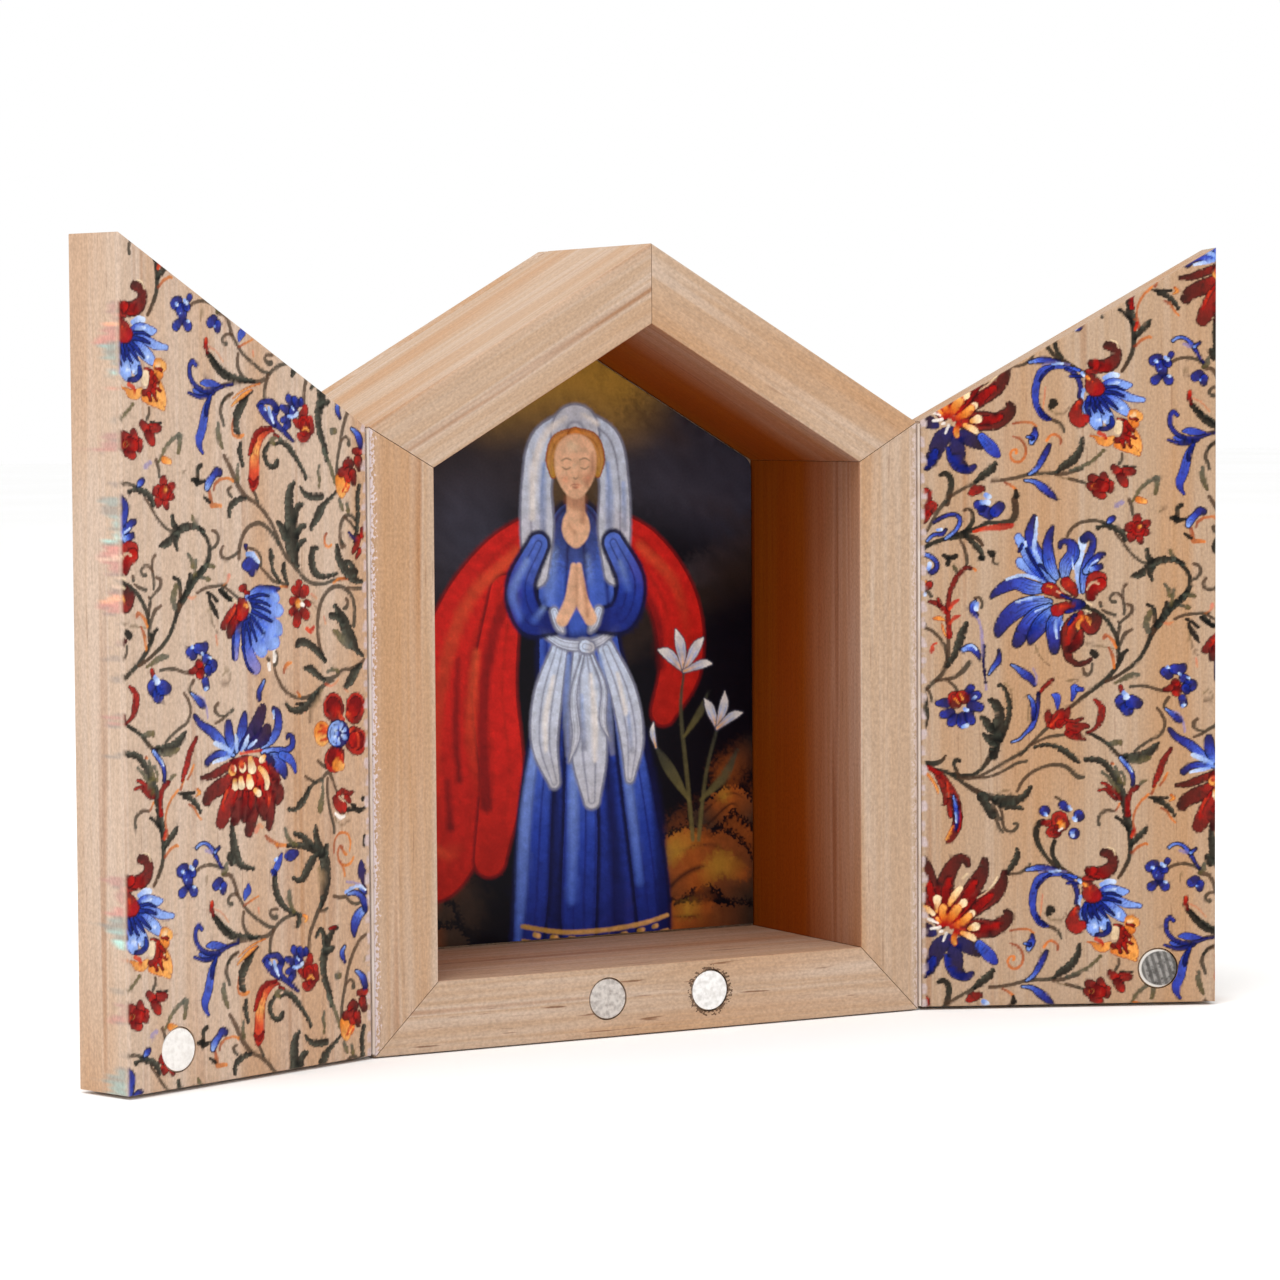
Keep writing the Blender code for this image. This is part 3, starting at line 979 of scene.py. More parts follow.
@dataclass(frozen=True)
class NickelPlate(Finish):
    """Bright nickel plate on a disc magnet, lightly scuffed: grey-white, with a soft glint."""

    colour: str = "#d8d4cc"
    dull: str = "#a8a49c"
    roughness: float = 0.32
    stripe_mm: float = 0.0
    stripe_turn: float = 0.0
    # Painted highlight: the colour of the disc's rounded edge
    rim: str | None = None

    def surface(self, tree: Tree, place: Socket) -> dict[str, object]:
        """Scuffs the plate, and gives one magnet its stripes and a painted highlight on its rounded edge.

        Args:
            tree: the material's nodes.
            place: the place on the magnet, in metres.

        Returns:
            What each socket of the shader gets.
        """
        # Scuffs of about 0.7 mm
        spots = {"Vector": place, "Scale": 1400.0, "Detail": 4.0}
        scuff = add_node(tree, "ShaderNodeTexNoise", spots).outputs["Fac"]
        ramp = ((0.35, self.dull), (0.6, self.colour))
        colour = add_node(tree, "ShaderNodeValToRGB", {"Fac": scuff}, ramp=ramp).outputs["Color"]
        layers = [(self._stripes(tree, place), self.dull)] if self.stripe_mm else []
        # A painted highlight on the rounded edge
        if self.rim:
            layers.append((self._painted_edge_highlight(tree), self.rim))
        for part, tint in layers:
            mix = {"Factor": part, 6: colour, 7: tint}
            colour = add_node(tree, "ShaderNodeMix", mix, data_type="RGBA").outputs[2]
        rough = {"Value": scuff, "To Min": self.roughness - 0.08, "To Max": self.roughness + 0.12}
        return {
            "Base Color": colour,
            "Roughness": add_node(tree, "ShaderNodeMapRange", rough).outputs[0],
            "Metallic": 1.0,
        }

    def _stripes(self, tree: Tree, place: Socket) -> Socket:
        """Rules the marks of the block that the magnet was ground on.

        Args:
            tree: the material's nodes.
            place: the place on the magnet, in metres.

        Returns:
            The share of dull metal.
        """
        tilt = {"Vector": place, "Rotation": (0.0, math.radians(self.stripe_turn), 0.0)}
        turned = add_node(tree, "ShaderNodeMapping", tilt).outputs[0]
        # A band texture repeats every tau / 20 of its scale
        scale = math.tau / 20 / (self.stripe_mm * MM)
        bands = {"Vector": turned, "Scale": scale, "Distortion": 0.4}
        wave = add_node(
            tree, "ShaderNodeTexWave", bands, wave_type="BANDS", bands_direction="X"
        ).outputs["Fac"]
        limits = {"Value": wave, "From Min": 0.2, "From Max": 0.8, "To Max": 0.75}
        return add_node(tree, "ShaderNodeMapRange", limits).outputs[0]

    @staticmethod
    def _painted_edge_highlight(tree: Tree) -> Socket:
        """Finds the disc's rounded edge, which catches the light.

        Args:
            tree: the material's nodes.

        Returns:
            The share of edge.
        """
        place = add_node(tree, "ShaderNodeTexCoord").outputs["Generated"]
        centred = {0: place, 1: (1.0, 0.0, 1.0), 2: (-0.5, 0.0, -0.5)}
        across = add_node(tree, "ShaderNodeVectorMath", centred, operation="MULTIPLY_ADD").outputs[0]
        radius = add_node(tree, "ShaderNodeVectorMath", {0: across}, operation="LENGTH").outputs["Value"]
        limits = {"Value": radius, "From Min": 0.42, "From Max": 0.45}
        return add_node(tree, "ShaderNodeMapRange", limits).outputs[0]


@dataclass(frozen=True)
class HingeFilm(Finish):
    """Clear polypropylene film, creased: milky, a little lilac against the wood behind it."""

    name: str = "polypropylene_film_creased"
    clear: str = "#bfa793"
    milky: str = "#d3c8c1"

    def surface(self, tree: Tree, place: Socket) -> dict[str, object]:
        """Whitens the film where it was stressed.

        Args:
            tree: the material's nodes.
            place: the place on the film, in metres.

        Returns:
            What each socket of the shader gets.
        """
        # Patches about 1 mm wide and 5 mm long
        size = {0: place, 1: (1 / MM, 1 / MM, 0.2 / MM)}
        stretched = add_node(tree, "ShaderNodeVectorMath", size, operation="MULTIPLY").outputs[0]
        spots = {"Vector": stretched, "Scale": 1.0, "Detail": 4.0}
        patches = {"Fac": add_node(tree, "ShaderNodeTexNoise", spots).outputs["Fac"]}
        ramp = ((0.3, self.clear), (0.75, self.milky))
        colour = add_node(tree, "ShaderNodeValToRGB", patches, ramp=ramp).outputs["Color"]
        return {"Base Color": colour, "Roughness": 0.38, "IOR": 1.49}


@dataclass(frozen=True)
class StudioPaper(Finish):
    """White studio paper, so brightly lit that it loses its grain."""

    name: str = "studio_paper"

    def surface(self, tree: Tree, place: Socket) -> dict[str, object]:
        """Clouds the paper faintly.

        Args:
            tree: the material's nodes.
            place: the place on the floor, in metres.

        Returns:
            What each socket of the shader gets.
        """
        cloud = add_node(tree, "ShaderNodeTexNoise", {"Vector": place, "Scale": 3.0}).outputs["Fac"]
        ramp = ((0.3, "#fcfcfb"), (0.7, "#ffffff"))
        colour = add_node(tree, "ShaderNodeValToRGB", {"Fac": cloud}, ramp=ramp).outputs["Color"]
        return {"Base Color": colour, "Roughness": 0.9}


# The two prints


class Brush(Enum):
    """The brushes of the door print."""

    STEM = Touch((Ink.SOOT, Ink.CHARCOAL, Ink.TWIG), ragged=0.06, swell=0.1)
    TWIG = Touch((Ink.TWIG, Ink.CHARCOAL), cover=0.88, swell=0.09)
    PALE_TWIG = Touch((Ink.OLIVE, Ink.TWIG), cover=0.55)
    RUST = Touch((Ink.BRICK, Ink.ORANGE), cover=0.85, swell=0.03)
    PALE_RUST = Touch((Ink.CORAL, Ink.ORANGE), cover=0.45)
    LEAF = Touch(
        (Ink.SOOT, Ink.CHARCOAL, Ink.SOOT), Ink.SOOT, 0.14, Ink.SLATE,
        veins=3, vein=Ink.SOOT, ragged=0.08, swell=0.22, barbs=0.16,
    )
    SAGE = Touch(
        (Ink.SLATE, Ink.OLIVE), Ink.CHARCOAL, 0.08,
        vein=Ink.CHARCOAL, cover=0.88, ragged=0.08, swell=0.14, barbs=0.12,
    )
    BLACK = Touch((Ink.SOOT,), ragged=0.08, swell=0.04)
    NAVY = Touch((Ink.COBALT, Ink.NAVY), Ink.NIGHT, 0.2, veins=3, swell=0.12)
    COBALT = Touch((Ink.SKY, Ink.BLUE, Ink.COBALT, Ink.NAVY), Ink.NIGHT, 0.24, veins=4, swell=0.16)
    BLUE = Touch((Ink.BLUE, Ink.COBALT), Ink.NIGHT, veins=3, vein=Ink.NAVY, swell=0.08)
    SKY = Touch(
        (Ink.COBALT, Ink.BLUE, Ink.SKY, Ink.SKY), Ink.NAVY,
        veins=4, vein=Ink.COBALT, vein_reach=0.85, swell=0.12,
    )
    FAN = Touch(
        (Ink.NAVY, Ink.BLUE, Ink.SKY), Ink.BLUE, 0.14,
        veins=5, vein=Ink.SKY, vein_reach=0.8, swell=0.15,
    )
    ICE = Touch((Ink.SKY, Ink.ICE), ragged=0.08)
    LILAC = Touch((Ink.NAVY, Ink.BLUE, Ink.LILAC), Ink.NAVY, veins=3, vein=Ink.COBALT, swell=0.1)
    HAZE = Touch((Ink.LILAC,), cover=0.6)
    PLUM = Touch((Ink.NAVY, Ink.PLUM), Ink.NIGHT, ragged=0.12, swell=0.1)
    RED = Touch((Ink.MAROON, Ink.RED), Ink.WINE, 0.18, veins=2, vein=Ink.MAROON, ragged=0.08, swell=0.12)
    MAROON = Touch((Ink.RED, Ink.MAROON), Ink.WINE, veins=2, vein=Ink.WINE, ragged=0.1, swell=0.12)
    WINE = Touch(
        (Ink.RED, Ink.MAROON, Ink.WINE), Ink.WINE, 0.25, Ink.MAROON,
        veins=3, vein=Ink.WINE, ragged=0.1, swell=0.18,
    )
    FLAME = Touch((Ink.CORAL, Ink.RED), cover=0.9, swell=0.03)
    AMBER = Touch((Ink.ORANGE, Ink.AMBER), Ink.BRICK, 0.12)
    PEACH = Touch((Ink.RED, Ink.ORANGE, Ink.AMBER), Ink.RED, 0.12, swell=0.05)
    CREAM = Touch((Ink.AMBER, Ink.CREAM), Ink.MAROON, 0.1, swell=0.05)
    GLINT = Touch((Ink.CREAM,), cover=0.6)
    WHITE = Touch((Ink.WHITE,), cover=0.85)
    STRIPED = Touch(
        (Ink.RED, Ink.CORAL, Ink.AMBER, Ink.CORAL, Ink.MAROON), Ink.MAROON,
        veins=4, vein=Ink.RED, vein_reach=1.2,
    )


class Pigment(Enum):
    """The brushes of the picture."""

    GROUND = Touch((Ink.GLOOM,), cover=1.0, ragged=0.0)
    ASH = Touch((Ink.UMBER, Ink.ASH), cover=0.62, soft=12.0)
    DUSK = Touch((Ink.UMBER,), cover=0.5, soft=5.0, ragged=1.2)
    MIST = Touch((Ink.ASH, Ink.UMBER), cover=0.42, soft=4.0, ragged=1.5)
    GILT_SKY = Touch((Ink.GILT,), cover=0.8, soft=13.0)
    HALO = Touch((Ink.GILT,), cover=0.45, soft=7.0)
    DEPTH = Touch((Ink.GLOOM,), cover=0.7, soft=9.0)
    EMBER = Touch((Ink.EMBER, Ink.UMBER), cover=0.7, soft=4.0, ragged=1.0)
    ROCK = Touch(
        (Ink.UMBER, Ink.EMBER, Ink.UMBER), Ink.GLOOM, 0.8,
        veins=3, vein=Ink.GLOOM, soft=0.6, ragged=0.7,
    )
    ROCK_LIGHT = Touch((Ink.EMBER, Ink.GILT, Ink.EMBER), cover=0.75, soft=1.6, ragged=0.7)
    FLAME = Touch((Ink.AMBER, Ink.CORAL, Ink.RED), cover=0.8, soft=0.9)
    CLOAK = Touch(
        (Ink.SCARLET, Ink.SCARLET, Ink.RED), Ink.MAROON, 0.5,
        veins=3, vein=Ink.RED, vein_reach=1.3, soft=0.5,
    )
    CLOAK_LIGHT = Touch((Ink.CORAL, Ink.RED), cover=0.7, soft=0.9)
    CLOAK_SHADE = Touch((Ink.MAROON, Ink.WINE), cover=0.7, soft=0.9)
    GOWN = Touch(
        (Ink.BLUE, Ink.COBALT, Ink.NAVY), Ink.NIGHT, 0.7,
        veins=4, vein=Ink.NAVY, vein_reach=1.3, soft=0.4,
    )
    GOWN_LIGHT = Touch((Ink.SKY, Ink.BLUE), cover=0.7, soft=1.0)
    GOWN_SHADE = Touch((Ink.NIGHT,), cover=0.7, soft=1.2)
    LINEN = Touch((Ink.ICE, Ink.PEARL), Ink.DOVE, 0.4, veins=3, vein=Ink.DOVE, vein_reach=1.3, soft=0.4)
    LINEN_SHADE = Touch((Ink.SKY, Ink.DOVE), cover=0.7, soft=0.5)
    LINEN_LIGHT = Touch((Ink.WHITE,), cover=0.75, soft=0.5)
    SKIN = Touch((Ink.SKIN,), cover=0.98, soft=0.25, ragged=0.0)
    SKIN_LIGHT = Touch((Ink.CREAM, Ink.SKIN), cover=0.5, soft=1.0, ragged=0.0)
    SKIN_SHADE = Touch((Ink.CLAY,), cover=0.55, soft=0.8, ragged=0.0)
    BLUSH = Touch((Ink.CORAL,), cover=0.3, soft=1.0, ragged=0.0)
    FEATURE = Touch((Ink.UMBER,), cover=0.75, soft=0.15, ragged=0.0)
    LIP = Touch((Ink.MAROON, Ink.CORAL), cover=0.6, soft=0.15, ragged=0.0)
    HAIR = Touch((Ink.ORANGE, Ink.GILT), Ink.EMBER, 0.25, veins=4, vein=Ink.EMBER, vein_reach=1.3)
    BRAID = Touch((Ink.GILT, Ink.AMBER), cover=0.85, soft=0.15)
    STALK = Touch((Ink.OLIVE, Ink.CHARCOAL), cover=0.9, soft=0.2)
    PETAL = Touch((Ink.AMBER, Ink.PEARL, Ink.WHITE), Ink.ASH, 0.2, veins=2, vein=Ink.SKY, soft=0.15)


# The door print's strokes by motif, as Stroke reads them, each brush's name before its strokes
VINE: dict[str, str] = {
    "stems and tendrils": """
STEM 45 68.8 .22 46.5 69.8 .2 48.5 70.5 .22 50.5 70.8 .25 52 71 .28 53.5 70.6 .2 54.4 69.6 .15
/50 71 .1 52 71.9 .2 52.9 73.2 .2 52.8 74.5 .15 52.2 75 .12 51.6 74.8 .1
/51.5 71.6 .2 53.5 72 .25 55 72.9 .2 57 72.9 .2 58.7 73.2 .35 59.4 74.5 .4 59.2 76.3 .4
/45.4 48 .25 45.7 46 .3 45.8 44 .35 45.4 42 .25 45.2 41.5 .1
/45 37 .3 46 37 .2 47 36.9 .3 48.2 37.4 .15 48.7 38.1 .06
/50 35.3 .15 51.5 35 .2 53.2 35.3 .15 54.5 36.4 .2 55.4 37.7 .3 55.9 39 .4
/50.9 37.3 .12 50.3 37.4 .2 50 36.8 .15 50.3 36 .12 50.6 35.4 .1
/45 36.8 .2 47 36 .2 48.7 35.7 .15 50 35 .2 51.5 33.9 .2 53 32.9 .3 54.5 32.1 .35
/65.2 25 .2 64.9 23.8 .25 65.1 22.5 .2 66.3 20.9 .2 68 19.8 .15 69.6 19 .15
/63.5 27.9 .35 62.8 27.6 .35 62.4 26.3 .35 62.7 24.8 .3 63.5 23.3 .22 65 21.5 .2 67 20.2 .2
/47.5 4 .15 48.4 4.2 .3 49.1 3.4 .35 49.1 2 .35 48.8 .8 .35 48.5 -.3 .3
/69.3 60.5 .5 70.3 60 .3 71.7 59.4 .2 73 58.4 .2 74 57 .2 74.7 55.5 .2 74.9 53.5 .2 75 52 .2
/76.3 53.6 .12 75.6 53 .25 75.2 52 .25 74.6 51 .22 73.8 50 .22 72.5 48.8 .22 71 47.7 .22 69.5 46.6 .2 68
45.4 .15 67.3 45 .1
/80.5 57 .4 79.8 55.5 .25 79.2 54 .2 78.3 52.5 .2 77 51.2 .18 75.5 50.2 .15 74.3 49.5 .12 73 48.9 .12
/70.3 41.3 .15 71.5 40.7 .15 73 39.8 .18 74.2 38.6 .2 75.2 37.7 .2 76.3 37.6 .2
/76.6 26.8 .35 76.8 25 .3 76.8 23.5 .25 76.5 22 .2 75.8 20.6 .18 75 19.3 .12
/84 66.9 .2 85.1 65.8 .18 85.8 64.6 .18 85.8 63.2 .25 85.3 62 .35 84.2 60.9 .4 83 59.9 .35 81.8 58.5 .35
80.8 57.2 .4 80.1 56.2 .25/79.4 60.4 .12 80.2 60 .2 80.5 59 .2 80.5 57.8 .2
/84.6 75.3 .22 84 75 .22 83.9 74.2 .2 83.8 73.4 .4
TWIG 45 70.6 .08 46 71.8 .1 47 73.6 .15 48 75.2 .18 49 76.3 .25
/51 70.3 .1 51.7 69 .16 52 67.5 .14 52 66.8 .1/56 68 .1 56 67 .08 56.6 66.7 .05
/45 57.4 .13 46.5 57 .13 48 55.6 .13 48.8 54 .15 49 52.5 .15
/49.2 56 .2 49.1 53 .2 48.7 51.5 .2 48.2 50.3 .25 47 49.2 .2 46 48.3 .2 45 47.7 .3
/47.3 49.3 .13 48.7 49.6 .13 50 49.8 .16 51.3 50.7 .26 52.2 51.8 .25 52.4 52.2 .1
/49 49.4 .1 50 48.6 .13 50.5 47.8 .12/46 48.2 .13 46.5 47.2 .1 46.6 46.4 .08
/45 63.5 .18 46 62.8 .18 46.6 62 .15/45 58.5 .15 45.6 57.8 .2
/53.2 61.7 .1 53.9 61.7 .1 54.3 61 .12 54.2 60.2 .08/60 38 .13 61.5 39.5 .13 63 41 .13 64.3 42.2 .15
/61.8 39.6 .1 64 40.6 .1 66.5 41 .13 68 41.2 .13
/50.5 34.9 .1 52 34.6 .12 54 35 .12 56.5 36.3 .12 59 37.7 .13 61 38.9 .13
/53 34.7 .08 55.5 34.9 .1 57.5 35.7 .1 59.5 36.8 .12 61 37.1 .12
/59.6 32.6 .1 60.3 34 .13 61.5 35.2 .13 63 36 .13 65 36.5 .16 67 36.2 .22 68.3 35 .25 69 34.6 .25 69.6
34.6 .15
/57 30.2 .1 57.3 29 .13 57.4 27.8 .13 57.7 26.9 .13 58.7 26.5 .13 59.4 27 .13 59.6 27.6 .12 59.1 27.7 .08
/56.2 29 .12 56.5 28 .15 57 26.8 .15 57.4 26.5 .08/56 30.5 .1 56.5 29.3 .15 57 28.4 .1
/58.3 20.1 .1 60 20.3 .12 61 21 .13 61.5 21.6 .06/65.4 31.6 .08 65.9 31.4 .1 66.2 31 .08
/48.9 .6 .12 50 1.4 .13 51.5 2.2 .13 53 3 .2
/55.3 3.1 .13 57 3.2 .13 59 3.5 .15 61 4 .16 63.5 4.1 .15 65 4.2 .2
/64.3 12.2 .15 65.5 11.6 .15 66.1 10.8 .12 66.2 10.3 .06/65 4 .15 66.5 4.1 .2 68 4.5 .15 69 4.8 .1
/67.2 70.8 .12 68 72.1 .13 69.5 72.9 .14 71.5 73.1 .14 73 72.7 .15 74 72.3 .15
/74.5 71.2 .06 75.5 70 .1 76.5 68.6 .1 77.6 67.5 .1 78.6 66.8 .1 80 66.5 .1
/82.5 47.4 .18 81 47.6 .12 79.5 48.1 .13 78 48.2 .1 76.8 48.1 .1/76.6 76.1 .18 77 75 .13 77.1 74 .12
/77 56.7 .1 76 56.1 .2 75.4 55 .15 75.1 54 .12 74.9 53 .12
/75 57.9 .1 75.2 57.2 .12 74.9 56 .12 74.8 54.5 .1/82.6 46.4 .18 82 45.5 .13 81.9 44.9 .1
/80.9 44.8 .1 81.5 44 .13 82 42.8 .13 81.9 41.7 .13 81.2 40.7 .13 79.8 40 .12 78.5 39.2 .12 77.5 38.4 .1
/87 43.1 .12 86.5 42.7 .15 86.5 42 .2 87.2 41.4 .1 88 41.3 .06
/86.4 40.4 .08 87.5 40.8 .1 88.8 41.6 .12 89.6 42 .15
/76.2 63.5 .12 75.7 62.9 .12 75.6 61.5 .12 75.9 60 .12 75.8 59 .1
/75.7 61.4 .1 75 62.1 .12 74.2 62.1 .12 73.7 61.5 .12 74 60.9 .12 74.5 60.9 .12
/76.3 60.5 .1 77 60.2 .16 77 59.3 .16 76.2 58.6 .13 75.3 57.8 .1 75 57 .1/72.2 60.8 .15 72.3 60.3 .15
/72.5 59.7 .08 73.5 59.2 .15 74.5 58.9 .1
/86.4 66.5 .1 87.2 66.2 .13 87.5 65.3 .16 87 64.5 .13 86.4 64.1 .1
/88.3 64.3 .1 87.9 63.6 .15 88.1 62.9 .18 88.9 62.6 .12 90 62.9 .12 91.3 63.6 .15
/83.5 58.2 .1 85 58.8 .12 87 59 .1 88.8 59.1 .1
/69.6 50.9 .1 69.8 50.2 .22 70.4 50 .15 70.9 50.6 .1 71 51.6 .08/75 7 .1 75 6.2 .12 74.6 5.5 .15
/67 3.3 .13 68.5 2.9 .12 69.5 2.6 .1/82.5 20.6 .12 83.5 21.1 .12 85 21.3 .12 86.3 21 .12 87.4 20.4 .12
/74.3 29.4 .08 73.2 29.5 .15 72.2 28.9 .15 71.9 28 .12 72 27.4 .12
/89.5 8.6 .12 88.3 7.9 .13 87.7 6.6 .18 88 5.5 .18 88.3 4.6 .13
/87.5 19.8 .2 88.9 19.4 .2 89.6 18 .2 90 16.8 .18 91 15.3 .15 92.5 13.8 .15 94 12.8 .15 95.5 11.9 .15 96.7
11.6 .13/90 16.9 .12 88.9 16.8 .12 88.3 16.3 .15 88.4 15.7 .15 88.9 15.6 .22
/91.1 14.3 .12 90.9 13 .14 91.3 11.8 .14 92.3 10.9 .12
/88 10 .1 90 10.3 .15 93 10.5 .18 95 10.5 .2 96.3 11.1 .2 97.5 12.1 .18 99 12.8 .15 100.5 13 .12
/96.6 11.3 .15 96 10 .17 95.8 8.7 .17 95.9 8 .12/90 8.9 .1 88.7 8.4 .12 88 7.5 .12
/97.3 14.1 .12 96.3 14.1 .12 96 13.6 .15 96.5 13 .22 97.1 13 .3
/103.2 7.4 .15 103.2 9 .17 103.6 10.5 .2 104.3 11.8 .22 105 13 .25 105.7 13.9 .3
/105.2 13 .12 106.2 13.1 .15 106.8 13.3 .1
/108.1 14.9 .15 109 14.6 .13 110.2 14.6 .13 111.2 13.8 .12 112.3 13.4 .12 113.3 13.5 .12
/114.2 8.9 .13 113 8.3 .16 112 7.1 .18 111.1 5.5 .2 110.5 4 .18 110.1 2.5 .18 109.8 1.2 .18 109.4 -.3 .15
109.2 -3.1 .18 109.6 -3.9 .12/110.2 2.3 .1 111 2.8 .12 111.6 2.4 .15 111.6 1.8 .28
/108.9 29.5 .1 108.3 30.8 .12 107.7 32 .2 107.2 32.3 .2 106 31.4 .18 104.6 31 .15 103.6 30.2 .2
/103 32 .12 104 31.4 .12 105 31 .1/105.4 34 .12 106.5 33.2 .15 107.4 32.8 .1
/107.2 31.5 .13 107.1 29.5 .13 107.4 27.5 .13 107.9 25.8 .13 108.3 24.5 .13 108.3 23.8 .1
/97.4 47.5 .12 98 45.9 .15 99.3 44.2 .17 101 43.2 .15 102.8 42.9 .15 104.5 43.2 .2 105.8 43.9 .22 107 44.6
.15 108.5 45 .1
/107 47.8 .2 106.2 49.3 .2 105.8 51 .2 105.7 53 .2 105.9 54.8 .2 106.5 56.2 .2 107.5 57.4 .2 109 58.1 .2
110.7 57.9 .2 112 57 .2 112.7 55.6 .2 112.8 54 .2 112.6 52.5 .22
/111.2 56.3 .15 111.5 55.8 .18 111.2 55.1 .18 110.7 55 .12
/114.6 47.7 .1 113.4 46.9 .2 112 46.5 .15 110.3 46.4 .15 109.3 45.7 .15 108 45.4 .15 106.7 45.3 .18
/111.5 57.8 .12 113 57.7 .15 114.4 57.7 .12
/88.8 76.5 .2 89.8 75 .25 90.6 73.5 .3 91.6 72 .3 92.8 70.9 .2 94.5 70 .2 96 68.7 .2 97.3 67.1 .2 98.5
64.9 .2 99.7 62.8 .2 101.2 61.4 .2 102.4 60.3 .2 103.5 59.3 .2 105 58.7 .18 107 58.6 .14 109 59 .12 111
59.2 .1/94 71.8 .12 94.8 70.3 .15/89.9 72.3 .1 89.4 72 .15 89.5 71.4 .15 90 71 .1
/91.2 62.6 .2 91.3 64 .2 91.8 65.4 .2 92.9 66.7 .2 94.7 67.3 .2 96.4 66.7 .2 97.6 65.6 .2 98.5 64.4 .15
/95.2 61.2 .1 96.3 60.3 .15 97.5 59.3 .15 98.8 59 .12 100.1 58.6 .12
/110.5 63.6 .2 110.2 65 .2 110.3 66.5 .18 111 67.7 .2 112.2 68 .15 113.3 67.2 .12
/111 63.7 .2 110.5 64.3 .15/111 67.8 .1 112.2 67 .12 113 66 .1/88 59 .08 89.3 58.3 .1 90.8 57.3 .12
PALE_TWIG 62.3 54.5 .08 62.8 53.3 .1 63.5 52.3 .08 64.5 51.4 .05/67 3.2 .1 65 3.8 .08
/56.5 32.1 .1 57.3 32.6 .13 58.2 32.6 .13 58.9 32 .1
/64.2 14 .1 64.3 13.5 .13 65.3 13 .1 66.5 13.3 .1 67 14 .08
/57.6 48.9 .08 58.5 48 .1 58.8 46.5 .1 58.7 45 .08/61.2 43.2 .1 61.3 45 .1 61.8 46.3 .08
/60.6 46.4 .08 60.9 47 .08 61.6 46.9 .08/67.3 49.1 .12 68.2 49.3 .15 68.8 49.2 .1
/88 47 .1 88.7 47.4 .12 89.3 46.7 .15 89 45.9 .15 88 45.8 .15/74.2 53.9 .1 70 54.6 .06 71.5 54.5 .06
/85.7 56.8 .1 85.9 55.3 .15 86.3 53.8 .12 87 52.7 .1/84.5 19.8 .08 84.4 18.6 .05
/81.2 74.4 .1 81.8 74.7 .12/108.5 25.9 .1 109 25.1 .12 110 24.8 .15 111.2 25.2 .15
/103 56.3 .2 104.5 56.2 .12 105.3 55.5 .1 105.9 54.9 .08
/106.4 43.8 .15 105.6 42.8 .25 104.7 41.9 .2 104 40.9 .2 103.9 39.6 .2
/105.3 19 .25 105.6 17 .3 105.6 15 .25/113.9 5.5 .3 114.1 5.6 .2/113.1 35.5 .05
RUST 52.6 66.2 .1 53.2 66 .15 53.3 65.8 .1/58.5 11.6 .1 60 11.8 .12 61.3 11.7 .12 62 11.2 .08
/58.5 9.7 .05 59.7 9.2 .1 60.4 8 .13 60.3 6.7 .14 59.5 5.9 .15 58.6 6 .15 58.1 6.8 .12 58.4 7.6 .12 59 7.7
.12 59 7.2 .15/65.7 8.5 .1 65.7 9.2 .13 65 9.9 .12 64.2 9.8 .12 63.6 9 .15
/57.3 2.8 .1 58.3 2.3 .12 58.9 1.7 .15/73.2 55.7 .12 72.7 55.4 .1 73 56 .1 74 55.2 .2 74.6 54 .1
/73.5 54 .1 74 53 .2 74.2 52 .2 74.3 51 .1
/86 71.8 .2 86.2 70.8 .28 86.4 69.9 .28 87.2 69.9 .28 88 69.8 .18
/86.8 72 .1 87 72.7 .18 88 73.4 .15 89.5 73.5 .12 90.3 73.1 .13/81.3 33.2 .1 81.9 34 .12 82.4 35 .1
/74 36.6 .2 74.2 36.5 .1/74.6 29.5 .1 75.2 30.5 .1/77 23 .12 77.9 23.9 .15 79 24.4 .15 79.4 24.3 .1
/81.5 29.8 .1 82.4 29.2 .1 83 28.2 .1 83.6 27.6 .08/91.2 15.2 .12 92.5 15.7 .1 93.8 16.2 .06
/90 5.5 .08 89.8 4.3 .1 90 3.3 .15 91 3 .25 91.8 3.2 .15
/108.2 21 .08 108.3 22.5 .1 109.3 23.6 .12 110.8 23.4 .12 111.4 22.2 .1 111.2 21 .06
/109.9 21.6 .1 109.3 21.7 .12 108.9 20.7 .15 109.3 19.5 .15 110.3 19 .15 111.3 19.2 .15 112 20 .1
/109.6 21.5 .1 110.3 20.7 .2 110.6 20.5 .12/109.3 19.6 .12 110 18.6 .15 110.2 17.6 .12
/107.6 65.5 .15 107.2 65 .15 107.3 64.1 .15 107.9 63.7 .15 108.5 63.9 .12
/112 59 .1 110 59.2 .15 108.8 58.6 .1/99.2 46.6 .1 99.3 47.2 .2 99.9 47.8 .25 100.6 47.9 .1
/100.1 58.4 .12 98.8 58.5 .1/101.6 43.8 .12 102.2 43.2 .12
/95.4 24.3 .2 96 23.8 .25 97 23.3 .2 98 22.9 .25 99.5 22.7 .15/97.6 22.6 .15 97.4 22.9 .2
/77.6 25.6 .25 77.2 27.8 .12 77.6 29.5 .1 78.4 30.8 .12 79.5 31.8 .15/80 31.9 .15 80.6 33.2 .15
PALE_RUST 81.5 58 .1 82.5 57.5 .2 83.3 57.8 .1/63.4 17 .05 63.2 15 .08 63 13.5 .05
/82.9 38.6 .3 83.2 38.8 .1/93.8 14.6 .1 93.9 13.9 .1/86.8 52.3 .12 87 51 .1/104.5 57.3 .1 105.5 56.6 .15
/106.9 54 .1 107.2 53 .1/110.6 43.8 .1 111.3 43.3 .08/107 44.6 .12 108 44.3 .15 109 44.7 .12 109.5 45.2 .1
/103 40.9 .05/93.6 25.2 .35 94.2 25.9 .3 94.8 25.6 .15/89.3 60.3 .3 89 59.5 .15 88.3 59.1 .1
/85 15.5 .1 87 14.6 .08 88.3 13.2 .08""",
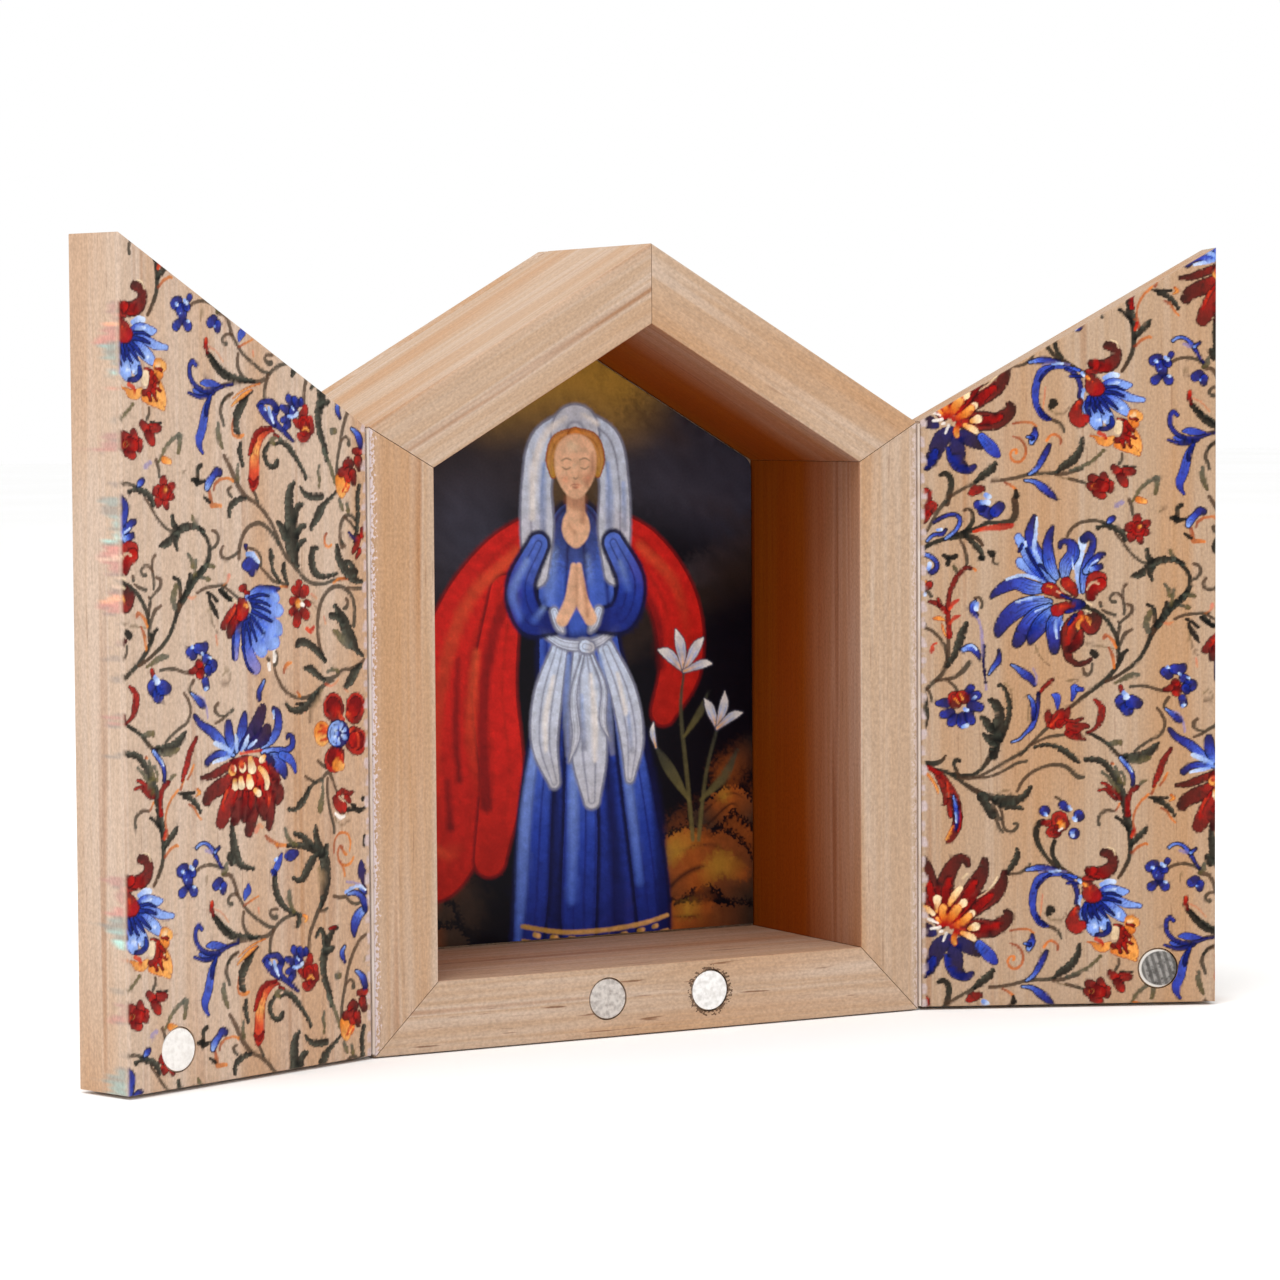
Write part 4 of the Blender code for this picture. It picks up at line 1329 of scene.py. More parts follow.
    "leaves": """
LEAF 52 70.8 .2 53.4 69.5 .3 54.2 68.4 .25 54.3 67.7 .3
/54.5 32.1 .35 56 31.6 .4 57.5 31.3 .65 59 31.2 .6 60.3 31.6 .4 61.2 32.5 .3 61.6 33.2 .1
/54 31.8 .4 54.9 30.6 .5 55.5 29.5 .5 55.8 28.8 .3/56.2 31.2 .3 57.5 30.6 .5 59 30.3 .3 60.3 30 .12
/56 38 .5 56.3 40 .7 56.5 42 .9 57 44 .6 56.6 45.3 .6 56 46.1 .4 55.4 46.3 .15
/56.2 41.5 .6 55.2 42.6 .5 54.7 43.4 .4 54.3 43.7 .2/56 40 .7 55 40.8 .35 54.5 41.2 .1
/57 40.5 .4 57.7 42 .3 58.2 43.5 .25 58.4 45 .25 58.2 46.8 .2 57.8 47.8 .15 57.2 48.6 .12 56.8 48.5 .1
/49 51.5 .2 50 53 .3 50.7 54.8 .45 51.3 56.5 .45 51.9 57.9 .2
/62.3 39.2 .1 63.5 39.5 .12 65 39.4 .2 66.5 38.7 .35 67.5 38 .35 68.5 37.2 .25 69 36.8 .1
/53 3.1 .15 54 3.9 .4 55.2 4.8 .45 55.8 5.6 .2
/58 20.3 .15 58.7 21.3 .3 59.4 22.4 .35 59.6 23.3 .25 59.5 23.8 .12
/65.2 4.3 .15 66.2 5.2 .4 67.2 5.8 .5 68.2 6.8 .45 68.8 8 .3 69 9.3 .2
/71.8 72 .15 72.8 72.3 .2 74.3 72 .3 75.3 71.4 .35 75.9 70.5 .25 76 70.1 .1
/84.8 66.5 .15 83.5 67.1 .25 81.5 67.1 .4 80.3 66.6 .5 79.2 65.8 .4 78.2 65 .4 77 64.7 .12
/80 66.9 .4 79.4 67.8 .25 79.3 68.6 .15/80 66 .4 79.8 65 .25 80.1 64.1 .08
/85.3 62 .35 84.2 60.9 .4 83 59.9 .35 81.8 58.5 .35 80.8 57.2 .4/82.4 60.5 .25 81.9 59.3 .22 81.5 58.4 .2
/76 37.7 .25 77.5 37.6 .4 79 37.9 .5 80.2 38.7 .4 81 39.5 .15
/70 37.2 .2 71.3 37.2 .3 72.6 36.8 .35 73.7 35.6 .35 74.7 34 .3 75.5 32.2 .4 76 30.2 .45 76.3 28.3 .45
76.6 26.8 .35/76.9 24.2 .15 77.8 25.2 .3 78.8 26.2 .3 79.3 26.9 .1
/80.6 30.9 .15 81.7 30.6 .25 82.8 29.7 .25 83.5 28.7 .12
/85.6 14.2 .2 86.3 13.4 .35 87.3 12.4 .45 88.7 11.4 .5 90 11 .38 92 10.7 .2 94 10.5 .15
/92.5 8.2 .2 91.7 7.3 .45 90.9 6.4 .6 90.5 5.2 .4 90.6 4 .4 91 3.5 .2
/91.3 2.1 .12 91.1 1.2 .3 91.3 .2 .2 91.6 -.8 .15
/105.7 13.9 .3 106.3 15.5 .55 106.6 17.5 .75 106.5 19.5 .8 106 21 .7 105.3 22.3 .5 104.8 23.7 .35 104.8 25
.1/99.5 22.7 .15 101 22.6 .25 102.8 22.3 .35 104.2 21.8 .4 105.5 21.2 .6
/100.9 24.2 .2 102.2 23.7 .3 103.5 22.8 .35 104.5 22 .3/106.8 22 .25 106.6 21 .4
/100.4 18.1 .12 101.2 17.7 .2 102.2 17.9 .35 103 18.9 .55 103.8 20 .6 104.7 20.9 .3
/97 19.3 .3 96.9 17.8 .32 97.2 16.4 .4 97.8 15.2 .4 98.8 14.1 .25 100.2 13.4 .18 101.7 12.8 .12
/101.3 12.7 .2 101.4 12.1 .32 101 11.3 .18
/107.3 -.3 .25 106.9 1.5 .35 106.2 3.2 .4 105.8 5 .45 106 6.7 .6 106.5 8 .5 107 9 .4 107.8 10.2 .3 108.5
10.4 .15/106.2 8.5 .35 106 9.8 .3 105.4 10.4 .25 104.8 9.8 .2 104.5 9.4 .1
/106.5 7.3 .5 107.3 7.5 .35 107.9 7.7 .15
/89.2 27 .2 89.2 25.5 .3 89.4 24 .5 89.7 22.5 .65 90.3 21.2 .5 91.5 20.4 .25 93 20.1 .12
/88.6 22.2 .35 89 21.5 .5/103.6 30.2 .2 102.8 29 .35 102 28.3 .4 101 27.6 .2 99.7 27.7 .12
/99.6 42.2 .12 100.5 41.4 .25 102 41.3 .4 103.6 41.9 .5 104.8 43 .35 105.8 43.9 .2
/107 47.9 .2 106 48.9 .35 104.8 49.8 .4 103.4 50.6 .4 102.2 50.6 .42 101.6 50.2 .22
/114.2 48.3 .12 113.2 49 .3 112.3 50.2 .75 111.2 52 .9 110.5 53.5 .7 109.6 54.6 .4 109.1 55.4 .2
/110.5 53 .5 109.5 53.8 .35 108.3 54.1 .4/106.7 45.3 .2 105.5 46 .35 104.2 46.9 .4 103.2 47 .12
/113.8 46.9 .2 112.8 46.1 .5 112 45.1 .6 111.3 44.4 .4 110.8 44.1 .2
/92.6 70.8 .12 91.3 70.6 .25 90.3 70.1 .35 89.6 69.4 .25 89.5 68.4 .2
/97 63.5 .15 97.2 62.6 .35 97.2 61.7 .15 97.5 60.5 .15 98.6 59.3 .12
/99.5 61.5 .15 99.4 60.6 .3 99.8 59.5 .2 100.1 58.8 .1
/102 61.3 .2 101.3 62.8 .8 101 64.5 1.2 100.9 66.5 1.1 100.7 68.5 .75 100.6 70.5 .65 101 72 .4 101.5 72.6
.15/100 65.5 .8 99 66.8 .4 98.4 67.3 .15/101.5 67.5 .5 102 69 .4 102.6 69.6 .3 103 69.6 .12
/101.8 65.5 .5 102.7 66.5 .35 103.5 66.7 .2/102 63.8 .4 102.9 64.5 .3 103.5 64.7 .1
/106.7 70.7 .35 105.5 70.7 .4 104.2 70.8 .3 103.2 71.5 .15 102.8 72 .08
/109.5 71.2 .08 108 70.1 .2 107 69.4 .35 106.3 68.5 .6 105.6 67.5 .45 104.9 66.7 .3 104.7 66.2 .12
/105.8 63.6 .1 105 63.4 .35 104.7 62.3 .45 104.9 61 .5 105.5 60 .4 106.5 59.6 .25 108 59.6 .15 109.5 59.9
.12/114.3 58.6 .12 112.8 59 .45 111.3 60.2 .6 110.2 61.5 .5 109.7 62.7 .4 109.6 63.8 .2
/113 60 .4 112.2 61.1 .3 111.2 61.5 .2/88 58.5 .15 88.5 57.8 .3 89.3 57.2 .2 90 57 .1
/114 72 .2 113.6 70 .25 113.7 68.3 .25 113.5 66.5 .25 113.3 65 .2 113 64.2 .1
/98.2 78 .1 99.3 78.3 .2 100.4 77.8 .3 101.4 76.8 .3 102.3 75.7 .2 103.2 74.5 .18 103.8 73.3 .15
/97 78 .2 96.2 77 .25 96.4 75.7 .2 97.2 75 .2 98.1 75 .25 98.5 75.6 .3
SAGE 78 49.9 .2 76.8 49.8 .35 75.5 49.2 .25 74.5 48.7 .12/73.5 39.6 .12 74.3 39.7 .32 75.2 39.7 .3
/82 63.4 .1 82.5 62.8 .2 82.8 61.8 .25/83.3 62.5 .2 83.2 61.5 .2 83 60.5 .15
/83.4 67.3 .25 82.9 68.3 .15 82.8 68.6 .06/85 61.8 .2 86 61.8 .2 86.6 61.6 .2/84.5 60.3 .15 85.7 59.9 .2
/79.5 56.4 .3 79.2 57.6 .45 79.6 58.8 .35 79.8 59.5 .12/76.3 37 .15 78 36.8 .25 79.8 37.4 .2
/72.5 35.3 .12 73.4 34.5 .2 74.2 33.4 .2 75 32 .2/74.5 36 .12 74.9 35 .2 75.3 33.7 .25
/75.4 35.3 .1 75.9 34.3 .15 75.9 33.4 .1/77.9 33 .15 78.6 33.7 .15 79.2 33.9 .1
/80.3 3.2 .4 80.3 2 .25 80 1 .2/87.3 4.8 .12 87.2 3.7 .3 87.6 2.3 .3 88 1.5 .12
/88.1 21.2 .12 87.9 20.5 .35 87.3 19.8 .2/99 25 .15 99.4 24 .25 100.2 23 .25 101.2 22.6 .2
/106.2 31.2 .1 106.2 29.5 .15 105.9 28.3 .4 105.7 27.3 .4 105.7 26.8 .15
/111.5 50 .6 110.2 50.8 .5 109.3 51.6 .35 108.7 52 .15/107.5 46.3 .1 108.5 46.6 .2 109.6 46.2 .15
/91.3 75.3 .12 91.1 74.3 .2 91.3 73 .2/106.4 75 .08 106.2 74 .2 106.4 73 .15 106.3 72 .1
/107.2 77 .25 107.8 76.1 .2 108.5 74.9 .2 109.2 73 .2 109.6 72.3 .12
/110.2 70.2 .15 110.5 69.3 .3 110.8 68.7 .12/111.6 69.5 .2 111.8 68.6 .25
/98.8 2.6 .1 97.8 2.9 .15 97 2.4 .35 97.4 2 .3
/67.2 4.5 .12 68.5 5 .15 70 5.6 .18 71.2 6.5 .15 72.2 7.5 .12
/79.8 3.2 .2 78.8 2.6 .18 77.7 1.6 .18 77.1 .5 .15 76.6 -.1 .15
/99.6 16.3 .2 99.6 15.2 .35 100 14.2 .25 100.6 13.3 .15/108.4 3.6 .35 108.9 3.6 .4
/50.5 65.2 .2 50.3 66 .15 50 66.5 .1
BLACK 48.5 68.1 .2 49.3 67.7 .35 50.4 68 .3/49.4 67.6 .3 49.1 66.8 .35/55.3 68.6 .2 55.8 68.3 .5
/54 67.6 .3 54.4 67.6 .3/58.9 1.5 .2 59 .8 .42/64.6 14.6 .65 64.2 14 .3/71.4 53 .55 71 53.3 .4
/83.8 73.4 .4 83.1 73.4 .3/83.8 73 .4 84.7 73.1 .2 85.2 73.3 .15/85 71.1 .12 85.6 70.6 .25 86 70.4 .2
/79.6 31.4 .15 81 31.3 .2 82.5 31.3 .12/85.3 58.2 .12 86.1 57.8 .2 87 57 .25
/85.7 57.6 .15 85.9 56.8 .3 86.6 55.7 .35 87.2 54.7 .15/87.5 58.4 .15 88.6 57.6 .3 89.7 57 .15
/74.6 28.5 .2 75.5 27.8 .2 76.2 27 .2/75.3 5.1 .15 76.3 4.9 .2 77.1 5 .1/101.4 42.2 .1 102.5 42.1 .2
/111 26.8 .3 112 26.8 .3 113.2 26.5 .3 114.4 26.8 .2/111.8 27.4 .2 112.4 27.2 .2
/113.9 28.1 .32 114.1 28.1 .2/114.1 22.8 .2 114.1 21.6 .25/93.7 9.2 .08 92.3 8.3 .14 91.2 7.9 .2
/86.1 14.2 .1 87.6 12.4 .14 89.4 11.1 .14""",
    "red leaves on the stems": """
MAROON 49.3 56 .35 49.2 58 .3 49.1 60 .25 49.3 62 .25 50 64 .25 50.8 65.3 .25 51.8 66.2 .2 52.6 66.2 .15
/48.9 59.5 .2 48 60.6 .3 47.2 61 .25 46.3 61.2 .15/47.7 61.6 .12 47.9 60.6 .2
/47 36 .2 48 34.3 .45 48.6 32.5 .3 48.6 31 .15 48.3 30.7 .05
/46 36.4 .2 48 35.2 .3 49.5 33.3 .35 50.3 31 .6 50.5 28.5 .65 50.2 26.8 .55 49.5 25.5 .35 49 25.1 .12
/76.5 28.8 .2 76.4 29.8 .25 76.5 31.2 .3 77 32.4 .3 77.9 33 .22
/72.5 33.7 .1 73.4 33.2 .2 74.4 32.2 .2 75.2 31.2 .2/72 32.5 .1 72.9 32.7 .15 73.6 32.2 .2 74.5 31.2 .15
/80.3 33 .15 80.8 34.2 .3 81.3 35.4 .4 81.8 36.8 .35 82.6 38.1 .25 83 38.7 .1
/62.8 47.2 .12 63.8 48.3 .2 64.6 49 .25 65 49.4 .1/64.6 42.6 .5 64.3 43.8 .5 64.3 44.6 .2
/65 42.4 .5 65.8 43.5 .9 66.3 44.6 .3/66 42.6 .5 67 43.8 .5 67.4 45.2 .1
/67 43.3 .15 68.2 43 .2 69.5 43.4 .15/67.3 41.3 .5 68.3 40.9 .6 69.2 40.6 .3 69.9 40.3 .08
/67.5 42.2 .6 68.5 41.9 .7 69.5 42.3 .4 70.3 42.2 .2
/71.3 46.2 .15 72 45.7 .3 72.4 44.8 .45 72.3 43.5 .45 71.8 42.3 .25 71 41.6 .15 70.2 41.3 .1
/75.2 48.2 .2 75.4 47.8 .25 75.3 47.4 .1/107.2 10.4 .12 108.3 10.5 .15
/85.3 16 .25 85.2 15.2 .25 85.5 14.4 .15
FLAME 46.8 54.6 .12 46.7 54 .25 46.6 53.6 .1/47.4 55 .08 46.9 54.8 .12
/49.4 60 .1 49.9 60.9 .25 50.7 61.4 .12/49.5 58 .1 50 58.7 .25 50.8 59 .15
/49 34 .05 49.2 32 .12 48.8 30.8 .08/64.6 42.4 .12 66.5 44.4 .1
/53 71.6 .12 55 72.1 .28 57 72.2 .42 58.6 72.4 .3 59 72.6 .1/103.6 52.5 .2 104.3 52.1 .32 104.9 52.6 .2
/85.3 16.2 .15 85.3 15.6 .2/77 25.5 .15 77.3 26.5 .18
RED 46 63.3 .3 46.3 63.7 .5/49.2 31.5 .2 49.3 30 .3 49.5 29 .2/50.8 31 .12 51 28.5 .15 50.6 26.6 .12
/112.6 62.8 .2 113.4 63.8 .4 113.9 64.8 .3/113.2 61.9 .1 114 63 .3/114.4 66 .2 114.3 65 .3
/112.6 .8 .35 113.4 .7 .5 114 .8 .4
AMBER 47 58.7 .2 47.8 58.7 .35 48.6 58.4 .12/48.2 57.8 .1 48.5 56.8 .15 48.8 56 .1
/49.8 27.5 .1 49.3 26.5 .2 48.8 25.5 .15/45.3 36 .2 46.3 35 .2 47 34 .2 47.5 33 .2 47.6 32.4 .08
/83 31.7 .2 83.4 31.2 .25 82.8 30.8 .12/93.5 9.4 .1 92 8.7 .3 90.6 7.8 .2 89.8 7.2 .1
/95 10.2 .08 93.3 9.8 .12 91.5 9.1 .12 90 8.2 .08/102.2 12.8 .15 102.8 12.4 .3 102.6 11.9 .2
/78 76.2 .5 79 75.9 .4/45.8 64.2 .15 45.9 64.3 .15""",
    "blue leaves and buds": """
COBALT 48.8 70.6 .15 50.3 71.8 .2 51 73.2 .22 50.6 74 .2 49.6 74.2 .18 48.3 73.8 .18 47 73 .12
/46 70.3 .12 47 71.2 .15 48.3 71.3 .2 48.8 71.9 .15
/45 68.3 .25 46.2 68.1 .25 47.3 67.3 .25 47.5 66.3 .25 46.8 65.6 .3 46.3 65.8 .2
/53.3 61.3 .1 52.8 60.6 .3 52.9 59.7 .35 53.4 59.1 .25
/51.5 54 .3 52.5 54.3 .45 53.5 53.5 .35 53.9 52.6 .12
/55.3 50.2 .08 56 51.3 .25 56.7 52.2 .35 56.9 53.2 .2 56.8 53.8 .1
/58.7 51.6 .1 59.6 51.1 .25 60.7 50.2 .5 61.6 49.6 .45 62.2 48.6 .2
/49.9 32 .1 50.3 30 .25 50.4 28 .2 50.2 27 .1
/58.8 40 .1 60 40.5 .12 60.9 41.4 .15 61.8 42.3 .3 62.4 43.8 .25 62.7 45.5 .2 62.8 47.3 .12
/61.3 46.9 .1 61.9 46 .25 62.1 44.6 .3 62 43.5 .2/60.3 3.1 .1 61.7 2.9 .25 63 2 .5 64.2 1 .4 65 .3 .12
/61 4 .15 62 4.8 .25 62.8 6 .35 63.5 7.3 .35 64 8.3 .2/61 20.7 .15 62.5 21 .35 64 21 .3 65.5 20.7 .15
/61.3 8.8 .3 61.5 9.4 .5 61.8 10 .4 61.8 10.8 .15/60.7 9.6 .12 61.5 9.4 .2
/73.4 72.8 .15 73.8 73.2 .4 74.2 73.5 .25/75.3 37.4 .2 76.2 36.3 .25 77 35.1 .25 77.2 34 .2 77.1 33.3 .15
/85.6 72.3 .35 85.9 73 .5 86.6 73.7 .4 87.3 74.4 .5 87.9 74.3 .4
/82.2 44.7 .1 83.2 43.9 .3 84 43.2 .45 84.5 42.9 .2
/82.7 23.8 .15 83.3 24.2 .15 84.2 24.3 .15 85.1 23.8 .18 85.8 23 .25 86.2 22.3 .2 86.8 21.3 .12 87.4 20.5
.1/86 22.9 .2 86.8 23.5 .1/95.5 45.7 .15 94.9 44.8 .25 94.5 44.2 .3 94.5 43.3 .3
/110 7.6 .15 109.5 6.9 .3 109.6 6.2 .3 110 5.4 .12/112.2 3.9 .15 113 3.4 .3 113.6 2.6 .5 113.9 1.6 .4
/113.9 12.4 .5 112.9 11.9 .7 112.2 10.9 .75 111.9 9.8 .5 111.9 9 .2
/110.8 14.9 .15 112.2 15 .25 113.3 14.4 .35 114 13.4 .5 114.2 12.5 .4/113.2 15.5 .15 114.2 14.8 .2
BLUE 65 47 .15 65.6 46.7 .5 65.7 45.8 .35 65.7 45 .15/68.3 48 .55 68.2 47.3 .4 67.9 46.2 .15
/68.8 47.8 .3 69.4 47.8 .3/91.3 16 .15 91.6 16.8 .5 92 17.2 .5 92 18 .1
/96.6 19 .2 97.4 20 .5 98 21 .35 98.3 21.6 .15
HAZE 54.9 48 .12 54.6 51 .15 54.4 53.5 .2 54.3 56 .2 53.9 58 .12 53.4 59 .15
/62 51 .08 62.5 49.8 .12 62.4 48.7 .12/74.7 75.3 .3 75.5 75.8 .3
/110.6 16.7 .15 112 16.4 .15 113.2 16.1 .12/63 20.3 .2 65 20.5 .25 67 20.3 .15
/83.2 44.4 .06 84.3 43.9 .1 84.8 43 .1 85 42 .15 85.1 41.2 .08/84.4 23.3 .2 85.4 23 .3
PLUM 113.5 19.3 .15 113.5 18 .7 113.8 16.7 .4 114.2 15.6 .15/111.9 65.5 .1 112.6 64.9 .2 113.3 64.4 .15
/92.5 64.3 .25 92.6 63.8 .2/54.6 54.5 .08 54.5 52 .08 54.8 49 .08
ICE 53.5 60.8 .3 53.4 60 .3/52 54.5 .1 52.8 54.6 .12 53.4 54 .1
/110.3 15.2 .15 111.8 15.8 .2 113.3 15.8 .15 114.2 15.2 .12/46.2 66.2 .3 46.4 66.9 .3
/47.6 71.9 .15 48.2 72 .2/76.4 36.4 .06 77.1 35.3 .08/45.3 62.6 .3 45.7 62.2 .2/97.1 20.9 .2 97.4 21.1 .15
/50.2 29.5 .08 50.3 28 .08""",
    "spiral and fan flower": """
BLUE 68.5 19.5 .2 66.5 19.9 .2 65 20 .25 63 19.5 .45 62.2 18 .5 61.9 16.3 .5 62 14.5 .4 62.8 13 .45 63.6
12.4 .4 64.1 12.2 .15
NAVY 66.5 19.7 .15 67.3 19.3 .2 68.2 18.5 .28 68.7 17 .28 68.5 15.5 .2/64.6 20 .1 63.3 19 .15 62.6 18 .12
/62.5 13.8 .1 63 12.9 .2 63.8 12.4 .15/67.2 18.6 .12 69 18.6 .12
ICE 68.9 19.1 .15 69.2 18.7 .15/69.2 16.6 .2 69 15.6 .15 69.2 14.5 .12
/72.5 18.3 .4 73.4 18.6 .55 74.2 18.7 .4/64.5 20.4 .12 66 20.5 .15
SKY 71.5 16.8 .4 73.5 17.4 .75 75.3 17.2 .6 76.3 17.2 .2/71.5 16.2 .4 74 16.2 .6 76.3 15.3 .5 78.2 15 .25
/71.3 15.8 .4 73.2 15 .8 74.8 14 .8 75.6 13.3 .6/70.8 15.5 .4 71.8 14 .9 72.8 12.5 .8 73.3 11.6 .6
/70.4 15.5 .4 70.5 13.8 .8 71 12 .9 71.3 11.2 .6/70 15.3 .3 69.6 14 .5 69.8 12.8 .4
NAVY 70 15.4 .25 69.7 13.8 .25 70.2 12.6 .08/70.5 15.2 .2 70.7 14 .2 71.2 12.7 .06
/71 15.3 .2 71.5 14 .2 72.2 13 .06/71.6 15.3 .2 72.5 14.2 .2 73.2 13.3 .06
/72 15.7 .2 73.3 14.6 .2 74.3 13.7 .06/72.3 16.3 .2 74 16 .2 75.3 15.6 .06
/72.5 16.9 .12 74 17 .12 75.3 16.5 .05/73.4 12.4 .12 73.5 11.4 .3 72.7 10.8 .3 71.6 10.7 .2/70.2 18.6 .08
ICE 71.2 12.8 .3 71.4 12.1 .3/72.2 12.2 .2 72.4 11.8 .2/74.6 14.2 .2 75 13.7 .2/73 17.5 .2 74.5 17.6 .15
RED 70.3 18.2 .7 70.8 17 1.25 71.4 16.7 .9/68.8 14.9 .3 68.2 14 .6 68 12.7 1 68.6 11.9 .9 69.3 12.2 .7
AMBER 69.7 18.5 .25 70 18.2 .25/75.5 11.6 .4 76.3 10 1 77 8.6 1 77.3 7.6 .75
/76.4 11.8 .5 76.7 12.8 .8 77.4 12.5 .8/77 11.4 .6
/70.2 9.7 .1 71 9.5 .2 71.8 8.9 .6 72.8 8.8 .7 73.6 9.2 .5
/74.2 8.3 .5 75.3 7.9 .6 76.5 7.6 .6 77.5 6.9 .35
FLAME 68.4 14.8 .12 67.9 13.6 .2/70.6 17.8 .1 70.9 16.8 .12/71.5 10.1 .2 72.3 9.7 .25 72.6 9.2 .1
MAROON 75.5 11.8 .25 75.7 10.6 .45 75.2 9.3 .4 74.2 9 .4/76 11 .2 76.8 10.3 .1/76.1 10 .25 77 9.3 .1
/75.8 9.2 .3 76.3 8 .1/75 8.8 .25 75.3 8 .1/74.4 12.2 .12 75.2 12 .12/69.8 19.3 .3 71 19.6 .55 72.5 20 .8
/76.4 12.3 .1 77.3 12 .12
WINE 70.5 20.2 .5 72.5 20.1 .9 73.8 20.9 .8 74.1 22.1 .65 73.5 23 .6 72.8 23.1 .5
GLINT 74.5 11.6 .45 74.4 10.5 .55/74.5 22.8 .08 74.1 23.6 .08 73.3 23.9 .08/76.5 12.6 .2 77 12.8 .25
/76.6 9.9 .1
RED 70.4 20.5 .5 71 20.4 .65""",
    "red and indigo flower at the hinge side": """
WINE 51 13.5 .9 53.5 15.5 1.2 56 17 1 57.2 18.5 .7 57.6 20.5 .2
/51 12 1 53.5 12 1.35 56 12 1.1 57.5 12.9 .9 58.2 13.8 .6 57.9 14.4 .3
/50 14 .9 51.8 16.5 1.2 53.3 18.8 1.1 54.3 20.5 .8 54.6 22 .4 54.5 22.5 .1
/48 13 .8 46.8 16 1.2 46.3 19 1 45.6 21.5 .8 45.1 23 .2
/49 14 1 48.5 17 1.3 48.8 19.5 1.1 49.8 21.5 .9 50.8 22.6 .6 51.8 22.3 .5 52 21.7 .3
RED 52.3 13.8 .4 54 15.7 .6 55.6 16.9 .4/52.5 12.1 .5 54.8 12.1 .6 56.6 12.6 .4
/50.9 15 .4 52 17.1 .55 53.1 19 .4/47.4 14.5 .4 46.7 16.6 .55 46.2 18.8 .4
/48.9 15 .4 48.7 17.3 .6 49.2 19.4 .4
GLINT 53.5 16.6 .05 55 17.6 .1 56 18.7 .14 56.5 19.7 .1/51.3 19.6 .08 52 20.3 .1
PLUM 49 10.5 .8 47.7 9.3 1.2 46.8 7.5 1 46 6 .9 45.5 5.3 .6/50 9 .9 50 7.5 1.2 50.3 6 .9 51.2 5 .6
/51 9.8 .9 52.5 9 .9 53.5 8.6 .8/46.8 11.4 .5 45.6 12 1
NAVY 48.7 8 .2 49 6.6 .4 50 5.3 .6 51.2 4.8 .55 52 4.8 .5 52.6 5.2 .35/46.8 7.5 .4 46.2 6.2 .6 45.3 5.4 .5
BLUE 53.8 9.6 .6 55.2 8 .9 56.1 7 .5
CREAM 47.3 14.7 .2 47.4 15.8 .4 47.4 16.5 .62/49.3 15.8 .3 50 17 .5 50.8 18 .4 51.1 18.3 .2
/45.2 15.4 .3 46 15 .4 46.8 14.3 .3/50.5 15.4 .3 51.2 15.7 .5 51.4 15.9 .6/52 13.9 .4 52.7 14.3 .5
/52.3 12 .3 53.2 12.3 .62/51.2 11.4 .3 52.5 10.8 .45 53 10.4 .3
PEACH 48.5 12.8 .3 48.2 14.5 .5 48.3 15.2 .55/49 12.8 .4 49.7 14 .6 50.4 15 .65
/49.6 12.3 .3 51.3 13.1 .55 52.2 13.9 .5/48 12.7 .3 47.4 13.6 .25/50.2 11.5 .3 49.9 10.4 .4 50.1 9.8 .25
WHITE 45.7 13.7 .15 46.5 13.4 .2 47.5 12.9 .1/46.5 12.1 .15 47.8 12.3 .2/48.3 10.2 .12 48.8 11.4 .18
/47.8 11.6 .1 48.1 11.7 .18""",
